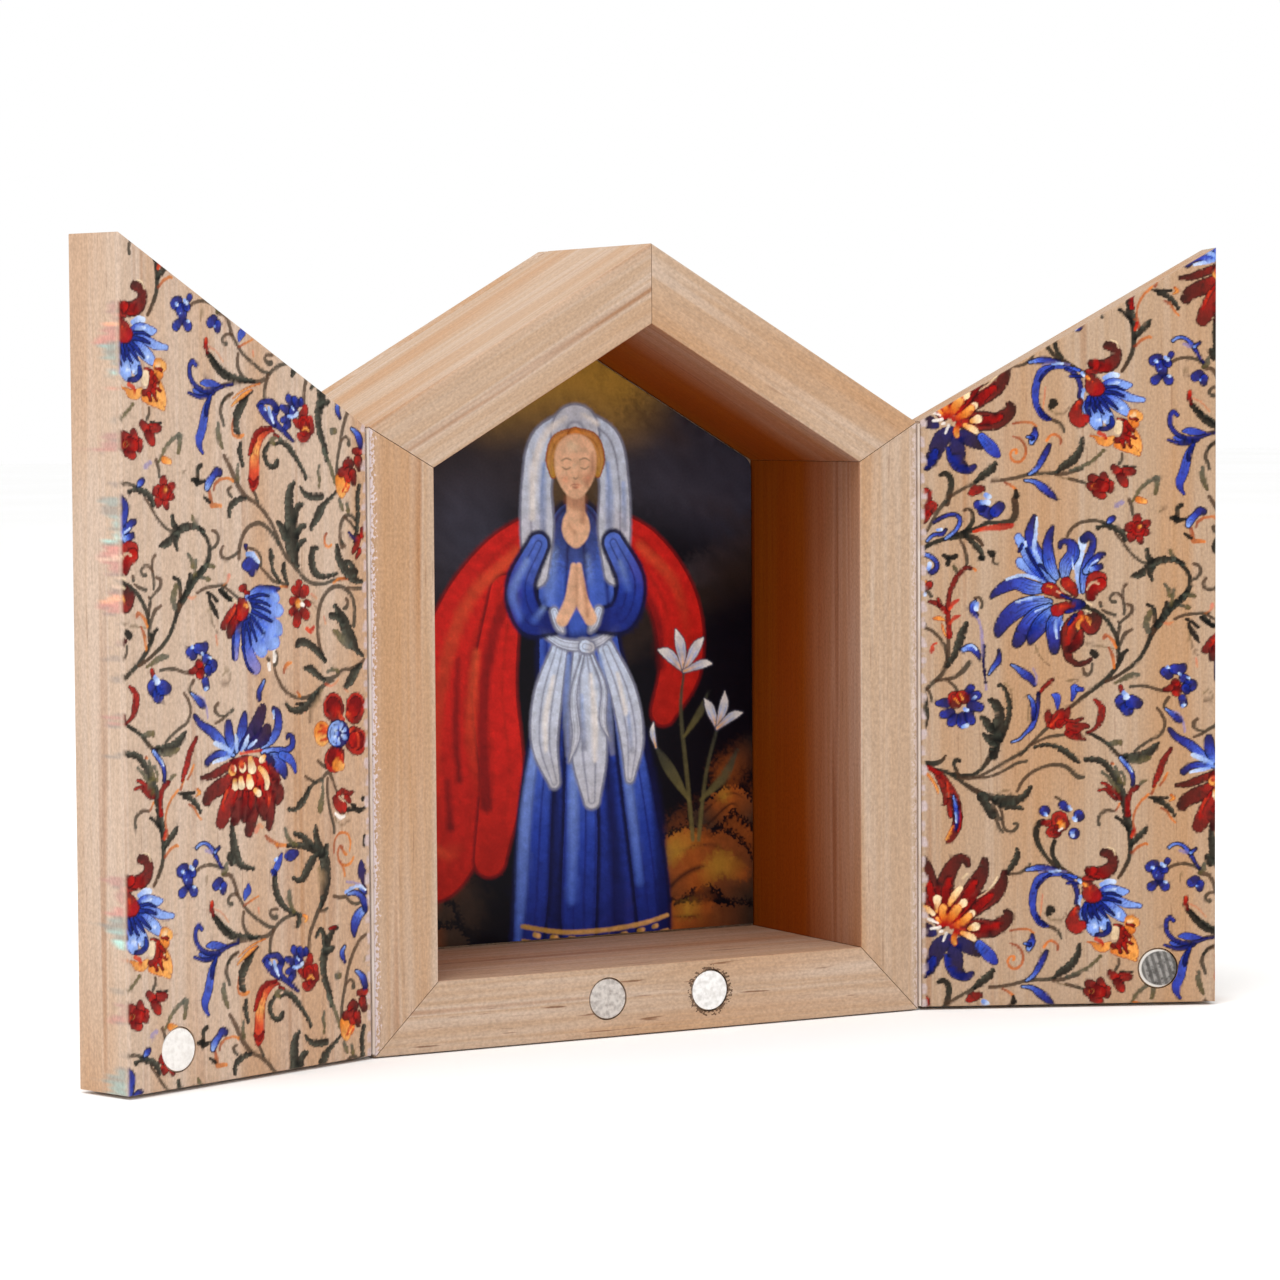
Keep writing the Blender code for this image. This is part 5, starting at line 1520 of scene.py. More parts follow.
    "great blue flower": """
SKY 63.7 64 .2 61.5 66 .7 60.3 66.8 .7 59.9 67.3 .3
/64.3 64 .4 62 67 .9 60.6 69.3 .7 59.8 70.6 .5 59.9 71 .2
COBALT 65 64 .4 63 67.3 .9 61.6 70.3 .7 61.6 72 .5 62.2 73.8 .2
ICE 63.9 65.5 .15 63 67 .3 62.2 69 .3 62.4 71 .25 62.6 73.6 .12/61 68.6 .1 60.9 70 .15
/69.2 62.5 .3 68.8 66 .5 69.3 69 .6 69.6 70.3 .6
NAVY 63.4 65 .12 61.8 67.5 .15 61 69 .1/60.4 69.6 .12 59.9 68.6 .12/64.3 65.4 .1 63 66.6 .12
COBALT 65.5 64.7 .4 64.6 66.5 .8 64.2 69 .7 64.5 71 .45 65 72.2 .15
/66.8 65 .6 67 66.5 .9 68 68 .9 68 69.3 .7 67.2 70 .35 66.3 69.9 .25 66.1 69.2 .2
/69.6 62.5 .25 69.7 65 .5 70.3 67.2 .55 71 69 .45 71.1 70.3 .4 70.4 71 .4 69.8 70.4 .55
/70 65.5 .4 71 66.8 .5 72 67.8 .4 72.6 68 .3/71 65.8 .5 72.2 66.2 .35
/64 63 .5 61.5 63.2 1 59.5 63.9 .9 57.5 63.2 .7 56.2 62.3 .4 55.7 61.8 .15
/64.5 61 .4 62 60.8 1 59.8 60 1.2 58 58.6 1.1 57 57.2 .8 56.7 56.3 .45
/64.5 60.2 .5 62.5 58.8 1.2 60.8 57 1.1 59.8 55.3 .8 59.5 54.8 .55
/65 59.8 .5 63.5 58 1.1 62 56 .8 61.6 55 .35/66 59.3 .5 65.2 57.5 1.1 65.2 55 .9 65.2 53.8 .6
ICE 64 63.8 .12 62 64.7 .2 60 65 .22 58 64.4 .12/63.5 61.8 .08 61.5 61.6 .12 59.5 61 .08
/65.6 58.4 .1 65.4 57 .2 65.6 55.6 .12/66.5 58 .06 66.2 56.8 .1/70.3 65.7 .06 71 66.7 .08 71.8 67.2 .05
/64 60.3 .06 62.3 59.6 .08/67.9 67.5 .06 68.1 66 .1
RED 70.6 61.6 .5 70.7 63 .7 71.3 64.3 1 72.2 64.4 .95/70.9 61.6 .5 71.3 62.8 .8 72.2 63.6 .9
/67.5 61.6 .2 66 62 .5 65 62.8 .8 64.2 63 .85/68.5 62 .3 67.8 63.1 .75 67 63.9 .75
/68.5 60.4 .4 67 60.2 .75 65.6 59.7 .85
WINE 69.3 59.2 .3 68.2 58.3 .6 67.5 56.8 1 67.6 55.2 1.3 67.3 53.7 .7 67.5 52.4 .4 68.7 51.6 .25 70 51.8
.22 70.8 52.3 .1/69.3 56.5 .3 68.8 55 .7 67.8 53.8 .4/70.2 57.8 1 70.8 57.1 1 71.4 58 .9 70.9 58.6 .7
AMBER 69.5 58.6 .25 68.8 57.6 .3 68.9 56.9 .2/69.9 58.8 .12 70.3 58.3 .25 70.7 57.4 .08
/64.2 63.4 .15 64.8 63.2 .2
FLAME 69.3 58.9 .1 68 57.8 .2 67.3 56 .18 67.3 54.5 .08/66 62.5 .12 67.2 61.6 .05
/67 64 .12 67.8 63.1 .15 68.4 62.2 .05/66.2 60.2 .25 67.5 60.3 .1
GLINT 70.2 62.8 .08 70.6 63.5 .13 71.3 63.9 .13 71.9 63.6 .13/65.6 62.6 .1 66.5 62 .06
/70 59.7 .08 70.8 59.3 .1/70 60.9 .12 70.9 60.5 .1
NAVY 66.3 62 .1 67.7 61.4 .15 69.3 60.9 .3/67 59.4 .15 68.5 59.9 .3 69.5 60.6 .4/67.4 57.6 .15 68.4 59 .2""",
    "small flowers": """
NAVY 47.6 46 .35 48.8 46 .7/48.4 44.3 .5 49.4 44.4 .75/49.6 43.1 .6 50.2 43.7 .7
/51.2 42.9 .65 51.3 43.8 .75/52.6 43.3 .6 52.3 44.1 .7/53.9 45.3 .6 52.8 45.6 .8
/53.5 47.1 .6 52.6 46.9 .75/52.6 48.2 .5 52.2 47.8 .5/54.5 74.8 .8 55.5 74.2 .75/56.3 74.6 .8 57 75.3 .7
/53.7 75.6 .6 54.3 75.2 .6/63.7 29.6 .72 63.8 29.6 .7/66.5 30.4 .6 67.2 29.8 .35/68.9 28.9 .7 69 28.7 .7
/68.2 26.1 .75 68.3 26.1 .7/75.4 46 .9 75.5 45.5 .8/76.3 44.8 1 76.5 44.3 .5/77 45.8 1 77.9 45.6 .7
/82 50.3 .6 82.6 49.9 .7/83.4 50.7 .65 84.4 50.6 .7 84.8 51 .5/84.9 49.3 .6 85.3 49 .6
/85.9 48.2 .9 86.2 48.3 .7/85.2 47.8 .6 85.4 47.4 .5/84.7 46.3 .5 84.9 45.5 .5
/79.5 20.8 .4 80 20.9 .8 80.6 21.3 .5/81 20 .9 81.2 19 .6/82 20.4 .5 81.5 20.6 .4
/82.5 21.8 .4 82.2 21.3 .25/80 17.9 .62 80.6 18.4 .4/82.1 17.9 .65 81.6 18.4 .4/86.1 18.4 .62 86.7 18.7 .7
/87.5 18.2 .5 87.4 17.6 .5/92.4 61.6 .6 93.3 61.7 1.05 94.2 61.6 .6 93.5 60.6 .5/100.3 8.2 .5 100.9 7.6 .6
/101.4 8 .45 101.8 7.5 .6/102.6 7.9 .3 102.6 7.5 .4/98.9 7 .3 99.9 6.6 .6/99.1 5.2 .35 100 5.3 .6
/99.6 4.2 .4 100.2 4.6 .45/101 6.4 .6 101.4 6.2 .6/99.2 21.3 .35 100 21.3 .75 101 21.5 .4
/98 6.6 .5 97.5 5.8 .45 97.8 4.8 .42 98.8 4 .3 100 3.1 .25 101 2.3 .12
/94.6 7.2 .2 95.3 7.6 .3 96.5 7.8 .3 97.4 7.5 .4 98 6.8 .45/95.2 6.9 .5 96 5.9 .5 96.8 5 .3 97.6 4.4 .15
/96.5 19.4 .25 97 19.1 .3
ICE 51.7 45 .3 52.1 44.9 .2/51.3 42.4 .2 52 42.6 .25/53 46.7 .15 53.3 46.9 .15/54.3 76 .3 55.3 75.9 .35
/55 77 .4 55.4 76.8 .3/63.9 29.1 .25 64.1 28.9 .15/67.4 30.2 .15 67.7 29.8 .2/68.2 28.4 .3 68.4 28.1 .25
/67.9 26.2 .25 68 25.8 .25/75.8 47.2 .3 76.2 46.6 .45/84.4 49.9 .15 84.2 50 .15/82.4 51 .2 82.6 50.9 .15
/85.4 49.4 .12 85.8 49.3 .12/84.8 45.1 .25 85 45.2 .2/80.1 20.8 .2 80.3 20.7 .2/81.6 21.3 .25 82 21 .2
/81.9 18.6 .12 82.3 18.5 .15/86.9 17.9 .1/96.6 6.9 .22 96.9 5.9 .22 97.4 4.9 .12/95.8 6.8 .12 96 6.6 .12
/100.9 7 .12 101.2 6.6 .1/100.2 5.8 .15 101 5.6 .22 102 6.1 .2/92.8 63.1 .3 93.8 63 .35 94.8 62 .2
/80.8 19.6 .1
MAROON 50 46.9 .8 50.3 46.1 .9/51.2 47 .8 51.6 46.6 .7/52.6 77.3 .3 53.3 77.8 .6 54.3 78 .4
/66 28.2 1.2 66.4 27.6 1/64.9 26.4 .85 65.6 26.2 .6/64.3 27.7 .45 63.6 27.8 .35/77.8 73.2 .6 77.9 73.7 .35
/79.2 72.6 .55 79.6 72.8 .3/79 71.3 .55 79.3 71.2 .35/78.2 70.4 .5 78.4 69.9 .3/77 70.9 .65 76.9 70.3 .4
/76.9 72.1 .75 76.4 72 .5/78 71.8 1 78.1 71.9 .9/45.8 77.3 .8 46 76.6 .7/46.8 75.5 .7 46.2 75 .9
/45.8 74.2 .8 45.5 73.4 .4/73.2 2.4 .5 73.1 1.7 .55/75.3 4.2 .6 76.3 4.3 .5 76.8 4.2 .3
/102.2 58.8 .5 102.2 58.4 .45/101.5 57.9 .6 101.9 57.5 .6/103.4 57.8 .7 103 57.4 .7
/101 56.4 .55 101.5 56.4 .6/100.9 54.9 .5 101.4 55.2 .5/101.7 53.4 .65 101.9 54.2 .7
/103.5 54.4 .65 103 54.9 .6/104 55.9 .4 103.6 56 .45/103.4 6.8 .45 103 5.8 .75/101.4 5 .3 102.2 4.6 .65
/104.2 5.2 .55 104.4 3.9 .6/103 4.8 .9 103.2 4.2 .9/102.3 3 .45 103 2.7 .6 103.8 3 .45
RED 82 47.6 .2 82.8 47.8 .4 83.7 48 .75/83.6 48.6 .55 83.7 48.5 .5/83.9 47.3 .65 83.8 47.2 .6
/70.5 3.3 .65 71 2.9 .7/72.2 3.7 .5 72.4 3 .6/70.2 2.2 .55 70.8 1.8 .6/71.2 1.2 .65 72 .8 .55
/71.6 2.2 .9 72.2 2 .8/73.8 4.9 .45 74.4 4.3 .6/74.8 3.4 .6 75.3 2.7 .6 75.6 2.3 .3
AMBER 50.2 46.7 .15 50.7 45.9 .12/50.9 47.4 .15 51.4 46.5 .15/66.1 27.5 .6 66.3 27.3 .5
/78.1 72.1 .3 78.3 72.2 .25/70.8 2.2 .38 70.9 2.2 .35/102 56.2 .5 102.1 55.9 .5
/102.8 3.8 .15 103.5 4.1 .18 104 3.7 .12
MAROON 65.5 27.1 .22 65.7 27.3 .12/70.8 2.2 .15 70.9 2.2 .12/103.1 3.3 .25 103.3 3.2 .2
/65.2 26.4 .15 66 26.2 .2
WHITE 102.8 55.9 .3 103 55.8 .25/97.4 49.9 .2 97.6 49 .4 97.4 48.3 .25/96.4 47.9 .28 96.5 47.2 .2
/65.9 26.6 .12 66.4 26.9 .1/108.6 26.4 .15 109.5 25.8 .25 110.3 25.9 .15
TWIG 96.2 48.7 .15 96.4 48.5 .15/97.8 49.6 .08 98 48.8 .1 97.8 47.9 .1 97.3 47.8 .12
/92.8 64 .08 94.3 63.6 .1 95.2 62.6 .1 95.2 61.5 .08""",
    "fan flower of the free side": """
COBALT 92.5 57.3 .3 94.5 58 .6 96.5 58.1 .5 98.5 58.2 .1
FAN 92.8 57 .3 95 57.2 .5 97.3 57 .75 98 56.8 .4/93 56.5 .4 95.5 55.8 .9 97.8 55.3 .9 98.6 55.2 .5
/93 55.5 .4 95.3 54 1 97.6 52.9 1 98.4 52.4 .5/92.7 54.8 .4 94.5 52.8 1 96.4 51.2 1.1 97.5 50.9 .8
/92.3 54.3 .4 93.5 52 .9 94.8 50.2 .9 95.3 49.8 .7
LILAC 91.8 54 .3 92.2 51.5 .7 92.9 49.3 .8 93.6 47.9 .95 93.9 47.6 .9
/91 54 .3 90.6 52 .5 90.3 50 .5 90.2 49.2 .45
NAVY 93 57.2 .15 95 57.5 .12 96.6 57.3 .05/93.3 56.7 .2 95.3 56.5 .12 96.7 55.9 .05
/93.5 56.1 .2 95.3 55.7 .12 96.8 55 .05/93.5 55.3 .2 95.2 54.6 .2 97 53.8 .08
/93.3 54.6 .15 94.3 53.6 .15 95.6 52 .05/92.8 54.3 .15 93.6 52.7 .15 94.2 51.2 .05
/92.4 54 .15 92.9 52.3 .12 93.1 50.8 .05/92 53.8 .2 91.7 52 .2 91.8 50 .1
/91.6 50.5 .15 92 49 .12 92.5 47.8 .12 93.4 47 .12/90 53 .12 89.8 50.5 .12 89.9 49 .12
MAROON 90.8 56 .6 89.5 54.5 .9 88.5 53.7 .6 88 53.5 .3/91.6 58.5 .45 92 58.6 .45/92.3 58 .25 92.9 57.8 .15
WINE 90.8 54.6 .5 90.2 54 .6 89.5 53 .6 89.2 52.3 .35
RED 91.3 56.9 .3 91.8 55.8 1.1 91.3 54.8 .7
AMBER 92.2 56.3 .3 92.5 56 .3
FLAME 90.3 55.8 .1 89.3 54.6 .2 88.8 54 .1/91.4 55.3 .1 92 55 .12
GLINT 92.6 56.8 .06 93.1 56 .12 93 55.2 .1/90 57 .12 90.6 56.6 .15""",
    "great red flower of the free side": """
WINE 90 34.9 .4 87.5 34 .5 85.5 33.3 .35 83.8 33.2 .12/90 33 .8 87.3 31.8 1 85.5 31 .9 84.7 30.1 .7
/95.5 33 .8 97 31.3 1 97.8 30 1 97.6 29.3 .7/91.3 31 .9 90.5 29 1.2 90 27.5 .9 89.6 26.8 .45
/92.3 31 .8 92 28.5 1 91.5 27.2 .6/93.3 31 .8 93.2 28.5 1 92.7 26.5 .8 92.3 25.3 .7
/94.5 31 .8 94.8 28.8 .8 95 27.3 .5 95.1 26.8 .2/95.5 31 .9 96.3 28.8 .7 96.3 27 .6 96 25.6 .4
/95.5 34.3 .5 97 33 .7 97.8 31.8 .4
MAROON 90 32 .8 88.7 29.8 1.1 87.8 28 1.1 87.2 26.9 .85
FLAME 88.4 31.2 .1 87.6 29.4 .12 87.4 28.4 .06/96.1 29.5 .2 96.1 28.3 .12
COBALT 95 36 .3 97.5 36 .4 99.3 35.9 .35 100.5 36.4 .4 100.6 37.5 .35 99.9 38 .2 99.6 37.6 .12
/96 35 .6 97.5 34.7 .9 98.5 33.7 .8 99 32.7 .5 99.1 32.2 .15
/89.5 36 .3 87.5 37.8 .6 85.8 39.3 .6 84 40.3 .4 83 41.3 .3 82.7 41.7 .15
/90 36.3 .3 89 38.2 .7 88.8 39.8 .6 88.8 40.3 .4/90.3 36.5 .3 91.2 38.8 .8 91.7 40.8 .5 91.8 41.5 .15
/95 36.8 .4 97 37.8 .6 98 39.3 .6 97.9 41 .5 97.2 41.7 .3/89.8 35.9 .15 88 36.2 .4 86 36 .35 84.9 35.2 .4
BLUE 98.5 35.3 .5 99.8 34.8 .6 100.7 33.9 .4 101.1 32.8 .2
PLUM 91 36.8 .4 93 38.5 1 94.3 40.3 1 95 41.8 .7/92 36.6 .4 95 38 1.1 96 39 .7
/95.4 35.6 .2 96.5 34.8 .5 97 34.2 .2
ICE 89.3 36.4 .2 87.8 37.1 .35 86.3 37.7 .25/89 35.7 .15 87.3 35.4 .25 86 35.1 .15
/90.2 36.3 .15 90.2 37.5 .3 90.1 38.6 .1/91.1 36.4 .15 91.9 37.3 .35 92.4 38.4 .12
/92.4 36.7 .1 93.3 37.2 .2 93.9 37.6 .08/97.1 41.4 .15 97.2 40.5 .12
RED 90 34.2 1.1 92 33.8 1.8 94.3 33.2 1.8/90.3 32.2 1 92.5 32.2 1.3
CREAM 92.7 35.2 .35 93 33.8 .72/95.3 35.3 .3 94.8 34.9 .45/89.8 32.3 .3 89.9 31.6 .55
/90.9 32.6 .3 91 31.7 .62/92.4 32.7 .4 92.6 31.7 .68/94.4 33.8 .3 95.3 33 .42 95.8 31.8 .42 95.7 31 .3
/93.5 30.8 .3 94.2 30.3 .45/89.4 33.7 .62 89.5 33.9 .6/91.2 34.2 .55 91.3 34 .6
FLAME 89.4 34.2 .35 89.5 33.9 .3/91.1 34.5 .35 91.2 34.2 .3/94.4 32.7 .25 94.7 31.8 .4
/90.9 36 .12 93 36.1 .12 94.8 36.2 .1""",
    "red flower with the blue eye": """
MAROON 108.4 41.4 1.8 108.7 41 1.7/112.8 41.2 1.8 112.5 40.4 1.6/113 36.2 1.8 112.3 36.6 1.7
/108.5 34 1.75 108.8 34.4 1.6
RED 108.4 41.5 1.2 108.9 41 1/108.5 34.3 1.2 108.9 34.3 1.1/112.7 41.3 1.2 112.3 40.7 1
/113 36.3 1.2 112.5 36.5 1.1
AMBER 109 33.2 .9 109.8 33 .7/106.2 38 1.5 106.3 37.4 1.4
FLAME 107.5 37.1 .18 106 36.8 .15/107.3 37.9 .2 105.8 38 .25/107 38.5 .2 106 38.8 .15
/112.9 37.5 .08 113.4 36.4 .1 112.9 35.3 .1 111.8 35.1 .08/111.2 40.2 .3 112 39.3 .3
/109.6 40.1 .3 110.3 39.4 .3/111.6 37.8 .15 112.3 38.2 .15/110 34.6 .08 110.2 33.4 .1
COBALT 109.1 37.6 1.75 109.6 37.5 1.75
ICE 108.4 38.4 .3 108.8 38 .1/109.9 38.6 .35 109.7 38.1 .1/108.2 36.9 .3 108.8 37.2 .1
/110.6 37 .35 110 37.3 .1/109.4 36.3 .3 109.4 36.9 .1/110.6 38 .25 110.1 37.8 .1
RED 108.6 28.5 .45 109.3 27.7 .85 110 27.1 .75
MAROON 109 29 .25 110 29.4 .35 111.2 29 .28 112 29.2 .1/110.6 28.6 .25 111.4 28 .25
GLINT 109.3 28.7 .08 110.2 28 .08""",
    "orange flower at the top and striped leaf": """
AMBER 110.3 73 .85 110.6 71.6 .95 110.7 70.7 .35/111.8 72.3 .5 111.5 71.6 .5
RED 110.5 73.9 .55 111.5 74.1 .75 112 73.2 .65
WINE 111.3 75 .35 112 75.4 .55 112.5 75 .4/112.7 73.8 .6 113 72.6 .4/113.8 75.6 .65 114.2 74.7 .5
FLAME 111.6 72.4 .12 110.8 71.3 .06/112.1 71.9 .08 111.4 71.2 .05
STRIPED 93.9 71.9 .3 94.1 73 .95 94.2 74.5 .9 94.3 76 .9 94.6 77.6 .8 95.4 79 .7 96.8 79.9 .5 98 79.8 .15
MAROON 93.4 76.7 .15 94 78.1 .35 94.6 79.3 .35 95.8 80.1 .28 97.3 80.3 .18
/93.2 73.3 .1 94 72.6 .3 94.9 73.4 .1/98.8 79.1 .08 98 79.4 .12""",
    "blue scroll leaf": """
BLUE 84.3 10.3 .15 85.3 10.3 .5 86.6 10.1 .4 87.8 10 .1/83 9.3 .2 84 9 .4 85.5 8.8 .3
/86 8.5 .15 85.3 7.3 .45 84.8 5.8 .6 84.4 4.2 .65 83.8 2.8 .6 83.9 1.7 .35 84.4 .9 .15
NAVY 83.4 12.7 .2 82.8 13.2 .25 82.3 12.5 .25 82.3 11.3 .25 83 10.2 .25 84.3 9.4 .25 85.8 9.2 .25 87.3 9.5
.15 88.5 9.9 .12 90 10.1 .1/82 9 .1 84 8.4 .2 85.5 8.6 .2 86.5 9 .2/86 8.6 .15 85.3 7.2 .25 85.1 6 .2""",
}

# The card's strokes by motif
DEVOTION: dict[str, str] = {
    "sky, from a gold light at the peak to the dark": """
GROUND 0 0 70 0 110 70
ASH -34 84 12 -12 90 14 14 88 13 34 78 8/-30 66 6 -16 72 8
GILT_SKY -9 97 8 4 99 9 12 94 6
DUSK 12 56 4 22 61 4 36 66 4/-36 58 5 -26 64 4/-20 92 2 -10 95 2/14 90 2 22 86 2
MIST 14 62 1.5 24 65 2 35 71 1.5/-34 70 2 -26 74 2/18 78 1 27 76 1.5 34 72 1
DEPTH 33 54 8 34 30 9/-33 44 4 -34 34 5/22 40 6 26 28 6
HALO 4 83 6 4 80 6""",
    "rocks and the fire's glow": """
EMBER -34 20 4 -25 24 4 -16 16 4/36 26 5 26 22 7 14 14 6/30 34 2 35 38 1.5
ROCK -36 14 5 -28 18 4.5 -20 14 4/-30 10 4 -18 10 4/14 13 5 21 20 5.5 28 21 5 34 15 4
/8 10 4 20 11 4 34 10 4/26 27 3 31 30 2.5 35 27 2
ROCK_LIGHT 17 18 1 21 23 1.6 26 24.5 1/25 17 1 29 20 1.8 33 18 1/-31 20 .8 -28 21 1.2 -25 19.5 .6
/12 14 .6 15 16.5 1/28 29.5 .5 31 31.5 .8/20 13 1 26 13.5 1.2
FLAME -29 21 .9 -30 25 .9 -28.6 29 .3/-27 21 .7 -26.4 24.5 .6 -27.4 27 .2
/-31 20.5 .6 -32.4 23.5 .5 -32 26 .2""",
    "cloak": """
CLOAK -1 73 3 -9 67 4.5 -15 57 6 -17 44 6.5 -16 31 6 -19 22 4.5 -23 19 2
/9 73 3 16 68 4 21 60 4.5 22 51 4 19 44 2.5/-8 63 3 -10 49 4 -9 35 4 -11 23 3
CLOAK_LIGHT -6 69 .8 -14 62 1 -18.5 51 1.1 -20 39 .9 -19.5 29 .7/-13 54 .6 -14 43 .9 -13 33 .5
/15 69.5 .7 21 63.5 .9 23.5 55 .6/-21 26 .5 -18 24 .8 -15 25.5 .4
CLOAK_SHADE -5 66 .8 -10 57 1 -12 45 .9 -11.5 31 1/-16 53 .4 -16.5 43 .6 -16 35 .4
/13 65 .8 17.5 59 .9 18.5 51 .8/-18 35 .4 -17.5 28 .6""",
    "gown": """
GOWN 4 72 5 4 63 7 4.5 53 7.5 6 41 9.5 7 27 11.5 7 13 12.5 7 5 12
GOWN -1 45 2.5 -3 31 3.2 -4 17 3.4 -5 8 3/12 45 2.5 14.5 31 3.2 16.5 17 3.4 17 8 3
/4 43 2.5 4.5 29 3.4 4 15 3.6 4 6 3
GOWN_SHADE 1 47 .5 0.2 33 .9 0 19 1.1 -0.2 7 1/8 47 .5 9.5 33 .9 10.6 19 1.1 11 7 1
/15.6 41 .5 18 27 1 19 11 1.2/-0.4 57 .5 4 55.8 .6 9 57 .5
GOWN_LIGHT -2.6 43 .5 -4.8 30 .9 -5.8 17 .8 -6.4 10 .4/3.4 41 .5 3.2 29 .8 2.8 16 .7
/11.4 42 .5 13.2 30 .7 14.6 18 .6/0.2 69 .8 -0.6 63 1 0 59 .5/6 68 .4 6.6 63 .6""",
    "white apron and sash": """
LINEN 1 54 1.6 -1 47 2.6 -1.6 40 2.4 0 34 1.2/5 54 1.8 5.6 46 3.2 6 38 3.2 6.4 31 1.6
/9 54 1.6 12 47 2.4 13.4 40 2.2 13 34 1
LINEN_SHADE 2.6 53 .3 2.2 45 .6 2.4 38 .4/8 53 .3 9.2 45 .7 10 38 .4/4.8 47 .2 5.2 39 .5
/12.8 44 .2 13.4 38 .3
LINEN_LIGHT 0 50 .3 -1.4 44 .5 -1.4 39 .3/6.4 50 .3 7 43 .6 7 37 .3/11 50 .3 12.4 44 .4
LINEN -2 57 .7 2 54.8 1 7 54.8 1 11 57 .7/5.4 54.4 1.3 6.2 54.2 1.2/5 53 .5 3.4 47 .8 3.8 41 .9 2.6 37 .4
/6.6 53 .5 8.6 48 .7 8.4 43 .8 9.6 40 .3""",
    "gold border at the hem": """
BRAID -5.6 12.5 .35 1 11.2 .35 8 11 .35 15 11.6 .35 19.4 12.6 .3
/-5.6 10.4 .2 1 9.1 .2 8 8.9 .2 15 9.5 .2 19.4 10.4 .2/-3.5 11.1 .4 -2.9 10.9 .4/-0.5 10.5 .4 0.1 10.4 .4
/2.5 10.1 .4 3.1 10 .4/5.5 9.9 .4 6.1 9.9 .4/8.5 9.9 .4 9.1 9.9 .4/11.5 10.1 .4 12.1 10.2 .4
/14.5 10.5 .4 15.1 10.6 .4/17 11 .35 17.5 11.1 .35""",
    "head: hair, face with lowered lids, and veil": """
MIST 4 85 5 4 77 5.6 4 71 5
DEPTH 4 81 3.6 4 73 3.6
LINEN 3 88 2.4 -1.2 85 2.8 -2.6 79 2.7 -2.6 72 3 -2.8 65.5 2.2
/5 88 2.4 9.2 85 2.8 10.6 79 2.7 10.6 72 3 10.8 65.5 2.2/4 87.6 3.6 4 86.8 4.4
HAIR 4 86.2 1.4 1.2 85.2 1.5 0 82.6 1.1 0.2 80.4 .6/4 86.2 1.4 6.8 85.2 1.5 8 82.6 1.1 7.8 80.4 .6
SKIN 4 78 1.55 4 74.6 1.6 4 72.4 2.4 4 70.6 1.3
SKIN_SHADE 2.9 76.6 .9 4 76 1 5.1 76.6 .9/5.2 75.4 .6 5.3 73.4 .5/2.9 72.6 .2 3.8 71.6 .2
SKIN 4 83 3.55 4 81.4 3.5 4 79.6 2.6 4 78.4 1.7
SKIN_SHADE 6.9 83.4 .3 6.9 81 .5 6 78.8 .4/4.5 80.6 .1 4.62 80 .16
SKIN_LIGHT 3.4 84.4 1 3.5 83.6 .9/3.75 81.8 .15 3.9 80.4 .2/2 80.4 .3 2.2 80 .3
BLUSH 2.1 79.9 .5 2.3 79.7 .5/5.9 79.9 .5 5.7 79.7 .5
FEATURE 1.6 82.5 .06 2.4 82.85 .1 3.25 82.6 .06/6.4 82.5 .06 5.6 82.85 .1 4.75 82.6 .06
/1.75 81.55 .05 2.4 81.2 .11 3.15 81.45 .05/6.25 81.55 .05 5.6 81.2 .11 4.85 81.45 .05
/3.68 79.9 .05 4 79.72 .06 4.32 79.9 .05
LIP 3.15 78.75 .05 3.7 78.95 .12 4 78.85 .12 4.3 78.95 .12 4.85 78.75 .05
/3.5 78.55 .1 4 78.4 .16 4.5 78.55 .1
LINEN_LIGHT 2.4 89 .3 -1 86.6 .6 -3 81.5 .6 -3.4 74 .5/5.5 89.4 .3 7.8 88 .4
LINEN_SHADE -1.4 82 .3 -1.6 76 .6 -1.6 69 .5/9.6 82 .3 9.8 76 .7 9.6 69 .6/12.2 79 .3 12.4 72 .4""",
    "sleeves and joined hands": """
GOWN -2.4 70 2.2 -5.4 64 2.8 -4 59 2.9 -0.4 58.2 2.2/10.4 70 2.2 13.4 64 2.8 12 59 2.9 8.4 58.2 2.2
LINEN 0.2 59.8 .9 1 57.8 1 1.6 56.8 .6/7.8 59.8 .9 7 57.8 1 6.4 56.8 .6
GOWN_LIGHT -4.4 67.5 .4 -6.8 63 .7 -5.6 59 .5/11.6 67 .3 13 63 .5/-1.6 60.4 .3 -3.2 58.6 .5
SKIN 1.6 58.6 1.1 3.1 61.4 1.15 3.4 64 .85 3.55 66.6 .5/6.4 58.6 1.1 4.9 61.4 1.15 4.6 64 .85 4.45 66.6 .5
SKIN_SHADE 4 60 .12 4 63 .14 4 66.6 .08/5.9 59 .3 5.6 62 .3 5.1 64.6 .2""",
    "lilies": """
STALK 24 24 .35 23 34 .35 22 44 .3 22.6 50 .2/25 24 .35 26.4 34 .3 28.4 41 .25
/23.4 30 .2 20 35 .9 17.6 38.5 .2/25.4 30 .2 29.6 33.5 .8 32 37.5 .2/22.6 40 .2 25.4 43.6 .6 26.8 46.6 .1
PETAL 22.6 50 .4 20 52.6 1 18.2 53.4 .3/22.6 50 .4 22 54 1 21.2 56.4 .3/22.6 50 .4 24.6 53.4 1 26 55 .3
/22.6 50 .4 25.8 51 .8 27.4 51 .3/28.4 41 .4 27.2 44 .9 26.2 45.6 .2/28.4 41 .4 29.6 44.4 .9 29.8 46.6 .2
/28.4 41 .4 31.2 42.8 .8 33 43.2 .2/17.6 38.5 .3 17 40.8 .6 17.2 42.4 .2""",
}


